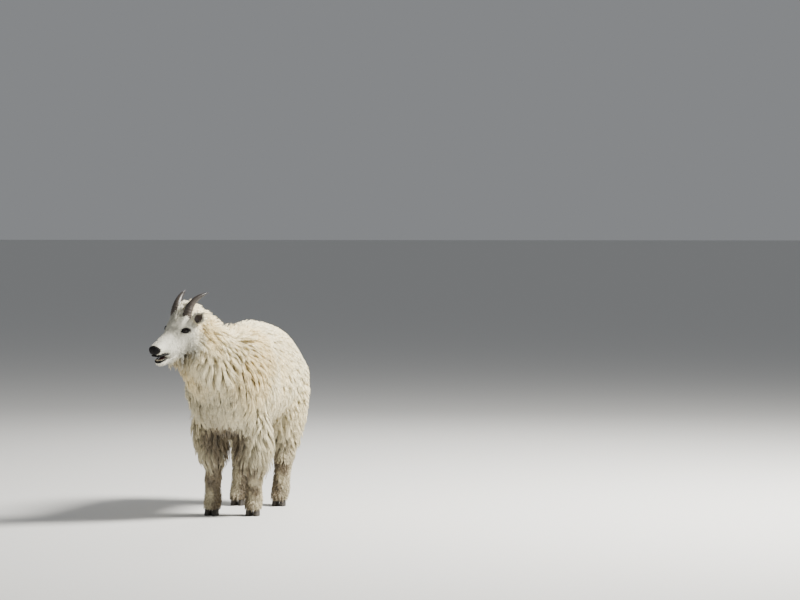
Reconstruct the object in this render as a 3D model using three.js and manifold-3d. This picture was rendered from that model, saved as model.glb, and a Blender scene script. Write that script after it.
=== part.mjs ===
import * as THREE from 'three';
import { mergeVertices } from 'three/addons/utils/BufferGeometryUtils.js';
import Module from 'manifold-3d';

// A mountain goat as a still, life-size model. It stands on a level floor with its feet
// under it, head turned to its own right and a little lowered, mouth slightly open.
// Millimetres. +Z is up, the goat looks along -Y, and its left side is +X.

// Driving dimensions
const GAP = 0.35;               // space kept between neighbouring pieces
const LOCK_GAP = 0.7;           // growth of a lock that a neighbour is cut clear of
const CORE_GAP = 0.6;           // growth of a core that a neighbour's locks are cut clear of
const SHOULDER_TOP = 925;       // top of the coat over the shoulders
const NECK_CUT = [0, -352, 700];        // the neck is parted from the shoulders here
const NECK_CUT_LIE = [0.2, 0.85, -0.48];
const SHOULDER_CUT = -120;      // y of the cut behind the shoulders
const RUMP_CUT = 190;           // y of the cut before the haunches
const LEG_SHAG = [170, 450];    // heights on a leg between which its coat hangs long
const HOOF_HEIGHT = 41;
const DIGIT_SET = 17.5;         // from the middle of a foot to the middle of each digit
const HEAD_PLACE = [-152, -600, 898];   // the point between the eyes
const HEAD_YAW = 26;            // degrees, turned to its own right
const HEAD_PITCH = 21;          // degrees, nose lowered
const HEAD_ROLL = 4;            // degrees, left side lower
const HEAD_CUT = 78;            // behind the point between the eyes
const JAW_OPEN = 7;             // degrees
const JAW_HINGE = [0, 25, -68];
const EYE_RADIUS = 16.5;
const EYE_PLACE = [49, 0, 4];
const LID = 3.2;                // thickness of the lids
const EAR_LENGTH = 108;
const EAR_WIDTH = 54;
// Where each ear points and where its cup opens: the left one out, the right one back
const EARS = {
  left: { root: [50, 70, 12], along: [0.8, -0.12, 0.58], facing: [0.1, -0.92, -0.37] },
  right: { root: [-50, 70, 14], along: [-0.4, 0.82, 0.4], facing: [-0.85, -0.35, 0.2] },
};

// Stations of the body. Each ends with how far the solid core lies below the coat's
// surface, where locks make up the rest.

// Trunk: y, half width, top and bottom of the coat, depth to the core
const TRUNK = [
  [-480, 50, 668, 545, 24],
  [-462, 108, 725, 475, 30],
  [-425, 164, 815, 428, 32],
  [-340, 192, 895, 400, 32],
  [-230, 202, 922, 395, 30],
  [-100, 200, SHOULDER_TOP, 410, 25],
  [30, 188, 928, 420, 18],
  [160, 194, 908, 428, 13],
  [280, 206, 892, 445, 12],
  [380, 210, 874, 465, 12],
  [450, 188, 838, 500, 14],
  [495, 130, 784, 570, 14],
  [512, 50, 738, 650, 12],
];

// Neck: x, y, z of its middle, half width, half depth up and down, depth to the core
const NECK = [
  [-140, -600, 966, 54, 96, 80, 10],
  [-100, -520, 896, 100, 138, 140, 28],
  [-58, -450, 806, 138, 152, 190, 34],
  [-22, -364, 716, 154, 166, 202, 36],
  [0, -270, 650, 150, 180, 180, 36],
];
const NECK_LIE = [0.26, 0.66, -0.7];

// Head, from the nose back: y, half width, top, bottom
const HEAD = [
  [-181, 12, -26, -42],
  [-177, 24, -18, -54],
  [-165, 32, -11, -60],
  [-146, 35, -6, -62],
  [-128, 38, -1, -74],
  [-112, 42, 4, -93],
  [-75, 47, 13, -108],
  [-40, 54, 29, -116],
  [-10, 61, 48, -120],
  [25, 66, 64, -119],
  [60, 65, 70, -108],
  [95, 54, 64, -76],
];

// Lower jaw, closed: y, half width, top, bottom
const JAW = [
  [-170, 12, -68, -80],
  [-164, 22, -66, -89],
  [-148, 28, -66, -95],
  [-120, 31, -67, -98],
  [-85, 36, -68, -102],
  [-60, 40, -68, -104],
];
const TONGUE = [
  [-150, 6, -66, -71],
  [-142, 13, -62, -72],
  [-120, 16, -60, -74],
  [-92, 16, -60, -75],
];

// Left legs, downwards: x, y, z, half width, half depth aft and fore, depth to the core
const FORELEG = [
  [88, -275, 600, 70, 90, 90, 24],
  [94, -268, 500, 84, 100, 96, 26],
  [100, -260, 410, 96, 108, 96, 28],
  [102, -250, 320, 96, 104, 94, 36],
  [102, -243, 255, 88, 88, 92, 38],
  [101, -239, 214, 78, 80, 82, 34],
  [100, -235, 178, 44, 48, 48, 4],
  [100, -232, 130, 38, 42, 41, 0],
  [100, -230, 78, 43, 46, 44, 0],
  [100, -238, 52, 41, 42, 50, 0],
  [100, -243, 30, 38, 40, 48, 0],
];
const HINDLEG = [
  [92, 330, 660, 92, 120, 120, 15],
  [102, 364, 560, 114, 126, 136, 17],
  [102, 370, 470, 106, 116, 144, 24],
  [98, 364, 390, 84, 94, 130, 26],
  [97, 348, 318, 70, 80, 92, 24],
  [94, 322, 250, 52, 60, 56, 8],
  [92, 298, 185, 43, 46, 46, 0],
  [90, 282, 120, 43, 45, 45, 0],
  [90, 270, 78, 46, 50, 46, 0],
  [90, 254, 52, 43, 46, 52, 0],
  [90, 244, 30, 40, 44, 50, 0],
];
// Where each foot stands, set off from the leg tables above, the height where the leg is
// parted, and how much higher the long coat of the upper leg ends
const STANCE = {
  fore_left: { side: 1, table: FORELEG, shift: [2, 16], cut: 214, hitch: 0 },
  fore_right: { side: -1, table: FORELEG, shift: [6, -14], cut: 250, hitch: 42 },
  hind_left: { side: 1, table: HINDLEG, shift: [0, 0], cut: 268, hitch: 0 },
  hind_right: { side: -1, table: HINDLEG, shift: [-26, -24], cut: 268, hitch: 0 },
};

const TAIL = [
  [0, 468, 800, 24, 14, 16, 8],
  [0, 500, 792, 30, 18, 20, 10],
  [2, 522, 764, 30, 18, 20, 10],
  [3, 531, 726, 22, 14, 16, 8],
  [3, 532, 700, 10, 8, 8, 3],
];

// Left horn: x, y, z, radius
const HORN = [
  [37, 40, 42, 20],
  [39, 52, 66, 19.5],
  [42, 74, 92, 17],
  [49, 104, 111, 13],
  [60, 141, 121, 8.5],
  [73, 179, 122, 1.8],
];

const COAT = { color: 0xe6ddc0, roughness: 0.95 };
const FACE = { color: 0xdad9cf, roughness: 0.9 };
const LEG_WOOL = { color: 0xcfc3a3, roughness: 0.95 };
const BLACK_SKIN = { color: 0x18161a, roughness: 0.45 };
const TONGUE_PINK = { color: 0xb48079, roughness: 0.5 };
const HORN_GREY = { color: 0x4a4340, roughness: 0.5 };
const HOOF_BLACK = { color: 0x201e1d, roughness: 0.6 };
const EYE_BROWN = { color: 0x1a0f08, roughness: 0.08 };

const RIGHT_ANGLE = Math.PI / 2;
const ACROSS = new THREE.Vector3(1, 0, 0);
const REARWARD = new THREE.Vector3(0, 1, 0);
const DOWNWARD = new THREE.Vector3(0, 0, -1);
const radians = THREE.MathUtils.degToRad;
const vector = (xyz) => new THREE.Vector3(...xyz);
const mirrored = ([x, ...rest], side) => [x * side, ...rest];

const wasm = await Module();
wasm.setup();

// A repeatable stream of even random numbers from 0 to 1
function randomFrom(seed) {
  let state = seed;
  return () => {
    state = (state + 0x6d2b79f5) | 0;
    let mixed = Math.imul(state ^ (state >>> 15), 1 | state);
    mixed = (mixed + Math.imul(mixed ^ (mixed >>> 7), 61 | mixed)) ^ mixed;
    return ((mixed ^ (mixed >>> 14)) >>> 0) / 4294967296;
  };
}

// Solids

// A closed geometry as a solid that can be joined and cut
function solid(geometry) {
  const bare = new THREE.BufferGeometry();
  bare.setAttribute('position', geometry.attributes.position);
  bare.setIndex(geometry.index);
  const shared = mergeVertices(bare, 1e-4);
  const corners = shared.index.array;
  const kept = [];
  for (let i = 0; i < corners.length; i += 3) {
    const [a, b, c] = [corners[i], corners[i + 1], corners[i + 2]];
    if (a !== b && b !== c && c !== a) kept.push(a, b, c);
  }
  const mesh = new wasm.Mesh({
    numProp: 3,
    vertProperties: new Float32Array(shared.attributes.position.array),
    triVerts: new Uint32Array(kept),
  });
  return new wasm.Manifold(mesh);
}

const joined = (solids) => solids.reduce((sum, part) => sum.add(part));

// The largest closed surface of a solid, which drops the loose scraps that cuts leave
function largest(body) {
  return body.decompose().sort((a, b) => b.volume() - a.volume())[0];
}

function geometryOf(body) {
  const mesh = largest(body).getMesh();
  const geometry = new THREE.BufferGeometry();
  geometry.setAttribute('position', new THREE.BufferAttribute(mesh.vertProperties, 3));
  geometry.setIndex(new THREE.BufferAttribute(mesh.triVerts, 1));
  geometry.computeVertexNormals();
  return geometry;
}

// A wide block whose near face passes through a point and looks back along a direction
function beyond(point, direction, matrix = new THREE.Matrix4()) {
  const wide = 4000;
  const block = new THREE.BoxGeometry(wide, wide, wide).translate(0, 0, wide / 2);
  const turn = new THREE.Quaternion().setFromUnitVectors(new THREE.Vector3(0, 0, 1), direction);
  block.applyQuaternion(turn).translate(point.x, point.y, point.z);
  return solid(block.applyMatrix4(matrix));
}

// A closed skin over rings of equal count, with a fan at each end
function skinOver(rings, tip = null) {
  const count = rings[0].length;
  const points = rings.flat();
  const last = rings.length - 1;
  const middleOf = (ring) => {
    const middle = new THREE.Vector3();
    ring.forEach((point) => middle.addScaledVector(point, 1 / count));
    return middle;
  };
  points.push(middleOf(rings[0]), tip ?? middleOf(rings[last]));
  const faces = [];
  for (let j = 0; j < count; j++) {
    const next = (j + 1) % count;
    for (let i = 0; i < last; i++) {
      const [a, b] = [i * count + j, i * count + next];
      faces.push(a, a + count, b, b, a + count, b + count);
    }
    faces.push(points.length - 2, j, next);
    faces.push(points.length - 1, last * count + next, last * count + j);
  }
  const geometry = new THREE.BufferGeometry().setFromPoints(points);
  geometry.setIndex(faces);
  return geometry;
}

// A body form: rounded rings along a spine, with smooth curves through its stations.
// A station is x, y, z, the half sizes to the side, up and down, and the depth of the core.
// The rings stand square to the direction given as along, or to the spine where none is.
// A ring is an ellipse where square is 2 and boxier where it is more.
class Form {
  constructor(stations, { rows, sides, square = 2, along = null, bumps = [], ridge = 0 }) {
    Object.assign(this, { rows, sides, square, along, bumps, ridge });
    const curve = (pick) => new THREE.CatmullRomCurve3(stations.map((row) => vector(pick(row))));
    this.spine = curve((row) => row.slice(0, 3));
    this.girth = curve((row) => row.slice(3, 6));
    this.coat = curve((row) => [row[6] ?? 0, 0, 0]);
  }

  frame(t) {
    const along = (this.along ?? this.spine.getTangent(t)).clone();
    const side = ACROSS.clone().addScaledVector(along, -along.x).normalize();
    return { along, side, up: side.clone().cross(along) };
  }

  // The point at a share t of the spine and an angle from the side, raised by lift
  point(t, angle, lift = 0) {
    const middle = this.spine.getPoint(t);
    const { side, up } = this.frame(t);
    const half = this.girth.getPoint(t);
    const [c, s] = [Math.cos(angle), Math.sin(angle)];
    const power = this.square;
    const reach = (Math.abs(c) ** power + Math.abs(s) ** power) ** (-1 / power);
    const rise = s > 0 ? half.y : half.z;
    const outward = (extra) => side.clone().multiplyScalar(c * reach * (half.x + extra))
      .addScaledVector(up, s * reach * (rise + extra));
    const plain = outward(0).add(middle);
    const push = this.bumps.reduce((sum, bump) => sum + bump(plain), 0);
    const point = outward(lift).add(middle);
    return point.addScaledVector(outward(0).normalize(), push);
  }

  // The depth from the coat's surface to the core, less along the back where ridge is set
  coatAt(t, angle) {
    return this.coat.getPoint(t).x * (1 - this.ridge * Math.max(0, Math.sin(angle)) ** 6);
  }

  // The share of the spine and the angle that a point near the form belongs to
  locate(point) {
    const goal = point.dot(this.along);
    let [low, high] = [0, 1];
    for (let k = 0; k < 16; k++) {
      const t = (low + high) / 2;
      if (this.spine.getPoint(t).dot(this.along) < goal) low = t;
      else high = t;
    }
    const t = (low + high) / 2;
    const { side, up } = this.frame(t);
    const offset = point.clone().sub(this.spine.getPoint(t));
    const half = this.girth.getPoint(t);
    const [u, v] = [offset.dot(side), offset.dot(up)];
    return { t, angle: Math.atan2(v / (v > 0 ? half.y : half.z), u / half.x) };
  }

  // Whether a point lies inside the coat's surface
  holds(point) {
    const { t, angle } = this.locate(point);
    const middle = this.spine.getPoint(t);
    const inside = t > 0.005 && t < 0.995;
    return inside && point.distanceTo(middle) < this.point(t, angle).distanceTo(middle) * 0.95;
  }

  normal(t, angle) {
    const [low, high] = [Math.max(t - 0.01, 0), Math.min(t + 0.01, 1)];
    const lengthwise = this.point(high, angle).sub(this.point(low, angle));
    const around = this.point(t, angle + 0.02).sub(this.point(t, angle - 0.02));
    return lengthwise.cross(around).normalize();
  }

  // The form's skin at the coat's surface, or at the core where core is true
  geometry(lift = 0, core = true) {
    const rings = [];
    for (let i = 0; i <= this.rows; i++) {
      const t = i / this.rows;
      const end = i === 0 ? -lift : i === this.rows ? lift : 0;
      const slide = this.frame(t).along.multiplyScalar(end);
      const ring = [];
      for (let j = 0; j < this.sides; j++) {
        const angle = (j + 0.5) / this.sides * Math.PI * 2;
        const depth = core ? this.coatAt(t, angle) : 0;
        ring.push(this.point(t, angle, lift - depth).add(slide));
      }
      rings.push(ring);
    }
    return skinOver(rings);
  }

  solid(lift = 0, matrix = new THREE.Matrix4()) {
    return solid(this.geometry(lift).applyMatrix4(matrix));
  }
}

// Stations given by y, half width, top and bottom, on the middle plane
function lengthwise(table) {
  return table.map(([y, side, top, bottom, coat = 0]) => {
    const half = (top - bottom) / 2;
    return [0, y, bottom + half, side, half, half, coat];
  });
}

// A soft swelling or hollow on both sides of the middle plane
function swell([x, y, z], radius, push) {
  return (point) => {
    const away = Math.hypot(Math.abs(point.x) - x, point.y - y, point.z - z);
    return push * Math.exp(-((away / radius) ** 2));
  };
}

// Locks of the coat

const random = randomFrom(24);
const vary = (share) => 1 + (random() * 2 - 1) * share;

// The path of one flat, tapered lock: rooted in the core, lying along the coat and ending
// at its surface. A lock that faces down hangs freely. The steps are shares of its length,
// and the depths say how much of the coat's depth is still above it there.
function lockPath(form, t, angle, { length, width, thick, lie, rise = 3, hang = 1, sink = 15 }) {
  const steps = [0, 0.38, 0.78, 1];
  const depths = [1, 0.5, 0.14, 0];
  const turn = (random() * 2 - 1) * 0.2;
  const reach = length * vary(0.16);
  const broad = width * vary(0.16);
  let normal = form.normal(t, angle);
  let spot = form.point(t, angle, -form.coatAt(t, angle));
  const path = [{ spot: spot.clone().addScaledVector(normal, -sink), normal }];
  for (let k = 1; k < steps.length; k++) {
    const heading = vector(lie(spot)).applyAxisAngle(normal, turn);
    heading.addScaledVector(normal, -heading.dot(normal)).normalize();
    const stride = (steps[k] - steps[k - 1]) * reach;
    const drop = Math.max(0, -normal.z) * hang * stride;
    const next = spot.clone().addScaledVector(heading, stride - drop * 0.5);
    const place = form.locate(next);
    const inside = place.t > 0.002 && place.t < 0.998;
    const lift = rise * steps[k] - form.coatAt(place.t, place.angle) * depths[k];
    const settled = inside ? form.point(place.t, place.angle, lift) : next;
    const free = next.clone().addScaledVector(DOWNWARD, drop);
    const loose = Math.min(1, Math.max(0, -normal.z) * hang);
    spot = settled.lerp(free, loose * 0.8);
    normal = inside ? form.normal(place.t, place.angle) : normal;
    path.push({ spot: spot.clone(), normal });
  }
  return { path, broad, thick };
}

// The skin of one lock. Its section is a low ridge that narrows to the tip.
function lockGeometry({ path, broad, thick }, grow = 0) {
  const widths = [0.7, 1, 0.74];
  const rings = widths.map((share, k) => {
    const before = path[Math.max(k - 1, 0)].spot;
    const along = path[k + 1].spot.clone().sub(before).normalize();
    const side = along.clone().cross(path[k].normal).normalize();
    const up = side.clone().cross(along);
    const half = broad * share / 2 + grow * 1.6;
    const low = thick * 0.36 * (1 - k * 0.16) + grow;
    const high = thick * 0.64 * (1 - k * 0.16) + grow;
    const { spot } = path[k];
    return [
      spot.clone().addScaledVector(side, half).addScaledVector(up, -low),
      spot.clone().addScaledVector(up, high),
      spot.clone().addScaledVector(side, -half).addScaledVector(up, -low),
    ];
  });
  const tip = path[path.length - 1].spot.clone();
  return skinOver(rings, tip);
}

// Locks rooted in staggered rows over a stretch of a form. A root that one of the forms
// under it covers is left out.
function sow(form, { t: [t0, t1], angle: [a0, a1], rows, across, under = [], ...style }) {
  const locks = [];
  for (let i = 0; i < rows; i++) {
    for (let j = 0; j < across; j++) {
      const shift = i % 2 ? 0.5 : 0;
      const share = (j + 0.5 + shift + (random() - 0.5) * 0.3) / (across + 0.5);
      const t = t0 + (t1 - t0) * (i + 0.5 + (random() - 0.5) * 0.3) / rows;
      const angle = radians(a0 + (a1 - a0) * share);
      const spot = form.point(t, angle);
      if (!under.some((other) => other.holds(spot))) locks.push(lockPath(form, t, angle, style));
    }
  }
  return locks;
}

function locksSolid(locks, grow = 0, matrix = new THREE.Matrix4()) {
  return joined(locks.map((lock) => solid(lockGeometry(lock, grow).applyMatrix4(matrix))));
}

// What a neighbour of these locks is cut clear of
function locksClear(locks, matrix) {
  return locksSolid(locks, LOCK_GAP, matrix).add(locksSolid(locks, 0, matrix));
}

// Trunk, neck, legs and tail as forms

const trunk = new Form(lengthwise(TRUNK), {
  rows: 14,
  sides: 16,
  square: 2.15,
  along: REARWARD,
  ridge: 0.75,
});
const neckLie = vector(NECK_LIE).normalize();
const neck = new Form(NECK, { rows: 6, sides: 14, square: 2.1, along: neckLie, ridge: 0.6 });
const tail = new Form(TAIL, { rows: 6, sides: 8 });

function legForm({ side, table, shift: [dx, dy], hitch }) {
  const stations = table.map(([x, y, z, ...rest]) => {
    const raised = z > LEG_SHAG[0] && z < LEG_SHAG[1] ? z + hitch : z;
    return [x * side + dx, y + dy, raised, ...rest];
  });
  return new Form(stations, { rows: 12, sides: 10, square: 2.1, along: DOWNWARD });
}

// Head, in its own frame: nose along -Y, the point between the eyes at zero

const headTurn = new THREE.Euler(radians(HEAD_PITCH), radians(HEAD_ROLL), radians(-HEAD_YAW), 'ZXY');
const headMatrix = new THREE.Matrix4().compose(
  vector(HEAD_PLACE), new THREE.Quaternion().setFromEuler(headTurn), new THREE.Vector3(1, 1, 1),
);

const skull = new Form(lengthwise(HEAD), {
  rows: 19,
  sides: 16,
  square: 2.25,
  along: REARWARD,
  bumps: [
    swell([56, 6, 30], 17, 6),
    swell([50, 28, -48], 30, 5),
    swell([36, -52, 0], 22, -3),
    swell([26, -166, -24], 16, 3),
    swell([34, -112, -26], 22, -2),
    swell([0, 62, 66], 34, 16),
  ],
});

const jawSwing = new THREE.Matrix4()
  .makeTranslation(...JAW_HINGE)
  .multiply(new THREE.Matrix4().makeRotationX(radians(JAW_OPEN)))
  .multiply(new THREE.Matrix4().makeTranslation(...JAW_HINGE.map((value) => -value)));
const jaw = new Form(lengthwise(JAW), { rows: 6, sides: 10, square: 2.4, along: REARWARD });
const tongue = new Form(lengthwise(TONGUE), { rows: 4, sides: 8, along: REARWARD });

// A round bead along a curve that is mirrored at its end, for the lips
function bead(points, radius, steps) {
  const half = points.map(vector);
  const other = half.slice(0, -1).reverse().map((p) => new THREE.Vector3(-p.x, p.y, p.z));
  const path = new THREE.CatmullRomCurve3([...half, ...other]);
  const round = new THREE.Shape().absarc(0, 0, radius, 0, Math.PI * 2);
  return new THREE.ExtrudeGeometry(round, { steps, extrudePath: path, curveSegments: 3 });
}
const UPPER_LIP = [[37, -122, -68], [33, -140, -63], [28, -156, -61], [17, -170, -58], [0, -176, -55]];
const LOWER_LIP = [[30, -118, -70], [26, -140, -69], [20, -156, -68], [10, -166, -69], [0, -169, -69]];

// Eight lower front teeth in an arc
function teeth() {
  const row = [];
  for (let i = 0; i < 8; i++) {
    const turn = (i - 3.5) / 3.5 * 0.95;
    const tooth = new THREE.CylinderGeometry(2.6, 2.0, 15, 4);
    tooth.scale(1, 1, 0.7).rotateX(RIGHT_ANGLE).rotateX(-0.35).rotateZ(-turn);
    tooth.translate(-Math.sin(turn) * 15, -146 - Math.cos(turn) * 13, -64);
    row.push(solid(tooth.applyMatrix4(jawSwing)));
  }
  return joined(row);
}

function ball(radius, centre, detail) {
  return solid(new THREE.SphereGeometry(radius, detail, Math.round(detail * 0.7)).translate(...centre));
}

// The almond between the lids, cut outwards through them
function lidOpening(side) {
  const [half, rise, drop] = [17, 12, 9.5];
  const almond = new THREE.Shape();
  almond.moveTo(-half, -1.5);
  almond.quadraticCurveTo(-2, rise * 2, half, 0.5);
  almond.quadraticCurveTo(0, -drop * 2, -half, -1.5);
  const prism = new THREE.ExtrudeGeometry(almond, { depth: 40, bevelEnabled: false, curveSegments: 5 });
  prism.rotateX(RIGHT_ANGLE).rotateZ(RIGHT_ANGLE * side).rotateX(-0.25).rotateZ(-0.35 * side);
  return solid(prism.translate(...mirrored(EYE_PLACE, side)));
}

const horn = (side) => new Form(
  HORN.map(([x, y, z, r]) => [x * side, y, z, r, r * 1.12, r * 1.12]),
  { rows: 11, sides: 7 },
);

// A leaf-shaped cup: the section is a closed tube at the root and a crescent further out
function ear(name, grow = 0) {
  const { root, along: pointing, facing: opening } = EARS[name];
  const along = vector(pointing).normalize();
  const facing = vector(opening);
  facing.addScaledVector(along, -facing.dot(along)).normalize();
  const across = along.clone().cross(facing);
  const leaf = new THREE.CatmullRomCurve3([
    [0.5, 15, -15], [0.74, 17, -6], [0.96, 17, 10], [1, 15, 10], [0.74, 10, 6], [0.3, 5, 3], [0.05, 2, 1],
  ].map(vector));
  const [rows, half] = [8, 5];
  const rings = [];
  for (let i = 0; i <= rows; i++) {
    const t = i / rows;
    const { x: share, y: back, z: hollow } = leaf.getPoint(t);
    const width = share * EAR_WIDTH / 2 + grow;
    const rim = Math.min(2.2 + grow, width * 0.4);
    const middle = vector(root).addScaledVector(along, t * EAR_LENGTH);
    const ring = [];
    for (let j = 0; j < 2 * half; j++) {
      const inner = j < half;
      const angle = (inner ? 0 : Math.PI) + ((inner ? j : j - half) + 0.5) / half * Math.PI;
      const reach = inner ? width - rim : width;
      const depth = inner ? -hollow + grow : back + grow;
      const point = middle.clone().addScaledVector(across, Math.cos(angle) * reach);
      ring.push(point.addScaledVector(facing, Math.sin(angle) * depth));
    }
    rings.push(ring);
  }
  return skinOver(rings);
}

// Hooves

// One digit of a cloven hoof: flat below, its walls leaning forward
function digit({ side, table, shift: [dx, dy] }, outer) {
  const foot = table[table.length - 1];
  const place = new THREE.Vector3((foot[0] + outer * DIGIT_SET) * side + dx, foot[1] + dy, 0);
  const splay = outer * side * radians(6);
  const levels = [[0, 15, 36, 22], [24, 14.5, 29, 20], [HOOF_HEIGHT, 12.5, 20, 17]];
  const rings = levels.map(([z, wide, fore, aft]) => {
    const ring = [];
    for (let j = 0; j < 9; j++) {
      const angle = -j / 9 * Math.PI * 2;
      const reach = Math.sin(angle) > 0 ? aft : fore;
      const point = new THREE.Vector3(Math.cos(angle) * wide, Math.sin(angle) * reach, z);
      ring.push(point.applyAxisAngle(new THREE.Vector3(0, 0, 1), splay).add(place));
    }
    return ring;
  });
  return solid(skinOver(rings));
}

// The two small claws behind the pastern
function dewclaws({ side, table, shift: [dx, dy] }) {
  const [x, y, z, , aft] = table[table.length - 3];
  return joined([-1, 1].map((outer) => {
    const [cx, cy] = [x * side + dx + outer * 17, y + dy + aft];
    return new Form([
      [cx, cy - 20, z + 8, 8, 8, 8],
      [cx, cy - 2, z - 4, 9, 9, 9],
      [cx, cy + 5, z - 18, 4, 4, 4],
    ], { rows: 2, sides: 5 }).solid();
  }));
}

// The model

const goat = new THREE.Group();
const head = new THREE.Group();
head.applyMatrix4(headMatrix);
goat.add(head);

function place(name, body, finish, parent = goat) {
  const material = new THREE.MeshStandardMaterial({ metalness: 0, ...finish });
  const mesh = new THREE.Mesh(geometryOf(body), material);
  mesh.name = name;
  parent.add(mesh);
}

const sides = [['left', 1], ['right', -1]];

// The lie of the coat: hanging at the front, laid back along the flanks, down at the rear
const hangs = ({ x }) => [Math.sign(x) * 0.1, 0.22, -1];
const sweeps = ({ y }) => [0, 0.75 - 0.5 * THREE.MathUtils.smoothstep(y, 250, 450), -0.65];
const falls = () => [0, 0.12, -1];
const trails = () => [0, 1, -0.2];

// Kinds of lock
const shaggy = { length: 170, width: 86, thick: 22, rise: 5 };
const woolly = { length: 170, width: 124, thick: 16, sink: 12 };
const ridgeHair = { length: 110, width: 110, thick: 20, rise: 3, lie: trails, under: [trunk] };
const beard = { length: 88, width: 46, thick: 15, sink: 10, lie: trails };
const cheek = { length: 60, width: 46, thick: 11, sink: 8, lie: () => [0, 0.8, -0.6], hang: 0 };
const topKnot = { length: 74, width: 54, thick: 20, sink: 10, rise: 30, lie: trails };

// Stretches of the forms that carry them
const onNeck = { t: [0.05, 0.82], rows: 3, across: 5, lie: hangs, under: [trunk], ...shaggy };
const onShoulder = { t: [0.14, 0.42], rows: 3, across: 5, lie: hangs, under: [neck], ...shaggy };
const onFlank = { t: [0.43, 0.6], rows: 2, across: 2, lie: sweeps, ...woolly };
const onHaunch = { t: [0.66, 0.9], rows: 2, across: 3, lie: sweeps, ...woolly };
const onForeleg = { t: [0.12, 0.42], angle: [0, 360], rows: 2, across: 5, lie: falls, under: [trunk] };
const onHindleg = { t: [0.16, 0.44], angle: [0, 360], rows: 2, across: 4, lie: falls, under: [trunk] };

// Locks by the node they are rooted in
const coatLocks = {
  neck: [
    ...sow(neck, { angle: [-96, 56], ...onNeck }),
    ...sow(neck, { angle: [124, 264], ...onNeck }),
    ...sow(neck, { t: [0.2, 0.6], angle: [66, 114], rows: 2, across: 2, ...ridgeHair }),
  ],
  shoulders: [
    ...sow(trunk, { angle: [-72, 76], ...onShoulder }),
    ...sow(trunk, { angle: [252, 104], ...onShoulder }),
    ...sow(trunk, { t: [0.06, 0.12], angle: [215, 325], rows: 1, across: 4, lie: trails, ...shaggy }),
  ],
  barrel: [
    ...sow(trunk, { angle: [-62, 10], ...onFlank }),
    ...sow(trunk, { angle: [242, 170], ...onFlank }),
    ...sow(trunk, { t: [0.42, 0.62], angle: [215, 325], rows: 2, across: 3, lie: falls, ...shaggy }),
  ],
  rump: [
    ...sow(trunk, { angle: [-10, 84], ...onHaunch }),
    ...sow(trunk, { angle: [190, 96], ...onHaunch }),
  ],
};
const headLocks = [
  ...sow(skull, { t: [0.7, 0.92], angle: [222, 318], rows: 2, across: 2, ...beard }),
  ...sow(skull, { t: [0.8, 0.9], angle: [-40, 15], rows: 1, across: 2, ...cheek }),
  ...sow(skull, { t: [0.8, 0.9], angle: [220, 165], rows: 1, across: 2, ...cheek }),
  ...sow(skull, { t: [0.86, 0.92], angle: [62, 118], rows: 1, across: 3, ...topKnot }),
];
const jawLocks = sow(jaw, { t: [0.5, 0.9], angle: [225, 315], rows: 1, across: 3, ...beard });

// Cores: the neck and the trunk are one body, parted by thin cuts
const bodyCore = neck.solid().add(trunk.solid());
const neckCut = vector(NECK_CUT);
const halfGap = GAP / 2;
const offset = (point, direction, distance) => point.clone().addScaledVector(direction, distance);
const upNeck = vector(NECK_CUT_LIE).normalize().negate();
const backNeck = vector(NECK_CUT_LIE).normalize();
const behindNeck = (extra = 0) => beyond(offset(neckCut, backNeck, halfGap - extra), backNeck);
const beforeNeck = (extra = 0) => beyond(offset(neckCut, upNeck, halfGap - extra), upNeck);
const headCut = new THREE.Vector3(0, HEAD_CUT, 0);
const behindHead = beyond(offset(headCut, REARWARD, halfGap), REARWARD, headMatrix);
const forward = REARWARD.clone().negate();
const before = (y, extra = 0) => beyond(new THREE.Vector3(0, y - halfGap + extra, 0), forward);
const behind = (y, extra = 0) => beyond(new THREE.Vector3(0, y + halfGap - extra, 0), REARWARD);
const cores = {
  neck: bodyCore.intersect(beforeNeck()).intersect(behindHead),
  shoulders: bodyCore.intersect(behindNeck()).intersect(before(SHOULDER_CUT)),
  barrel: trunk.solid().intersect(behind(SHOULDER_CUT)).intersect(before(RUMP_CUT)),
  rump: trunk.solid().intersect(behind(RUMP_CUT)),
};

// Legs
const trunkClear = trunk.solid(GAP);
const above = (z) => beyond(new THREE.Vector3(0, 0, z + halfGap), new THREE.Vector3(0, 0, 1));
const below = (z) => beyond(new THREE.Vector3(0, 0, z - halfGap), DOWNWARD);
const legs = {};
for (const [name, stance] of Object.entries(STANCE)) {
  const form = legForm(stance);
  const fore = name.startsWith('fore');
  const fringe = fore
    ? { ...onForeleg, length: 165, width: 92, thick: 22, rise: 4, hang: 0 }
    : { ...onHindleg, length: 140, width: 100, thick: 18, rise: 4, hang: 0 };
  coatLocks[`leg_${name}_upper`] = sow(form, fringe);
  const whole = form.solid().add(dewclaws(stance)).subtract(trunkClear);
  cores[`leg_${name}_upper`] = whole.intersect(above(stance.cut));
  legs[`leg_${name}_lower`] = whole.intersect(below(stance.cut)).intersect(above(HOOF_HEIGHT + halfGap));
}

// Head pieces, in the head's frame
const beforeCut = beyond(offset(headCut, REARWARD, -halfGap), forward);
const skullSolid = skull.solid().intersect(beforeCut);
const skullClear = skull.solid(GAP);
const padRegion = (grow) => {
  const lump = new THREE.SphereGeometry(1, 10, 6).scale(40 + grow, 30 + grow, 21 + grow);
  return solid(lump.translate(0, -176, -31));
};
const nostrils = joined(sides.map(([, side]) => {
  const slot = new THREE.SphereGeometry(1, 7, 5).scale(5, 10, 7.5);
  return solid(slot.rotateY(0.7 * side).rotateZ(0.5 * side).translate(15 * side, -182, -29));
}));
let headSolid = skullSolid.add(solid(bead(UPPER_LIP, 4.5, 7)));
for (const [, side] of sides) {
  const centre = mirrored(EYE_PLACE, side);
  headSolid = headSolid.add(ball(EYE_RADIUS + LID, centre, 12).subtract(lidOpening(side)));
  headSolid = headSolid.subtract(ball(EYE_RADIUS + GAP, centre, 12));
}
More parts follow.
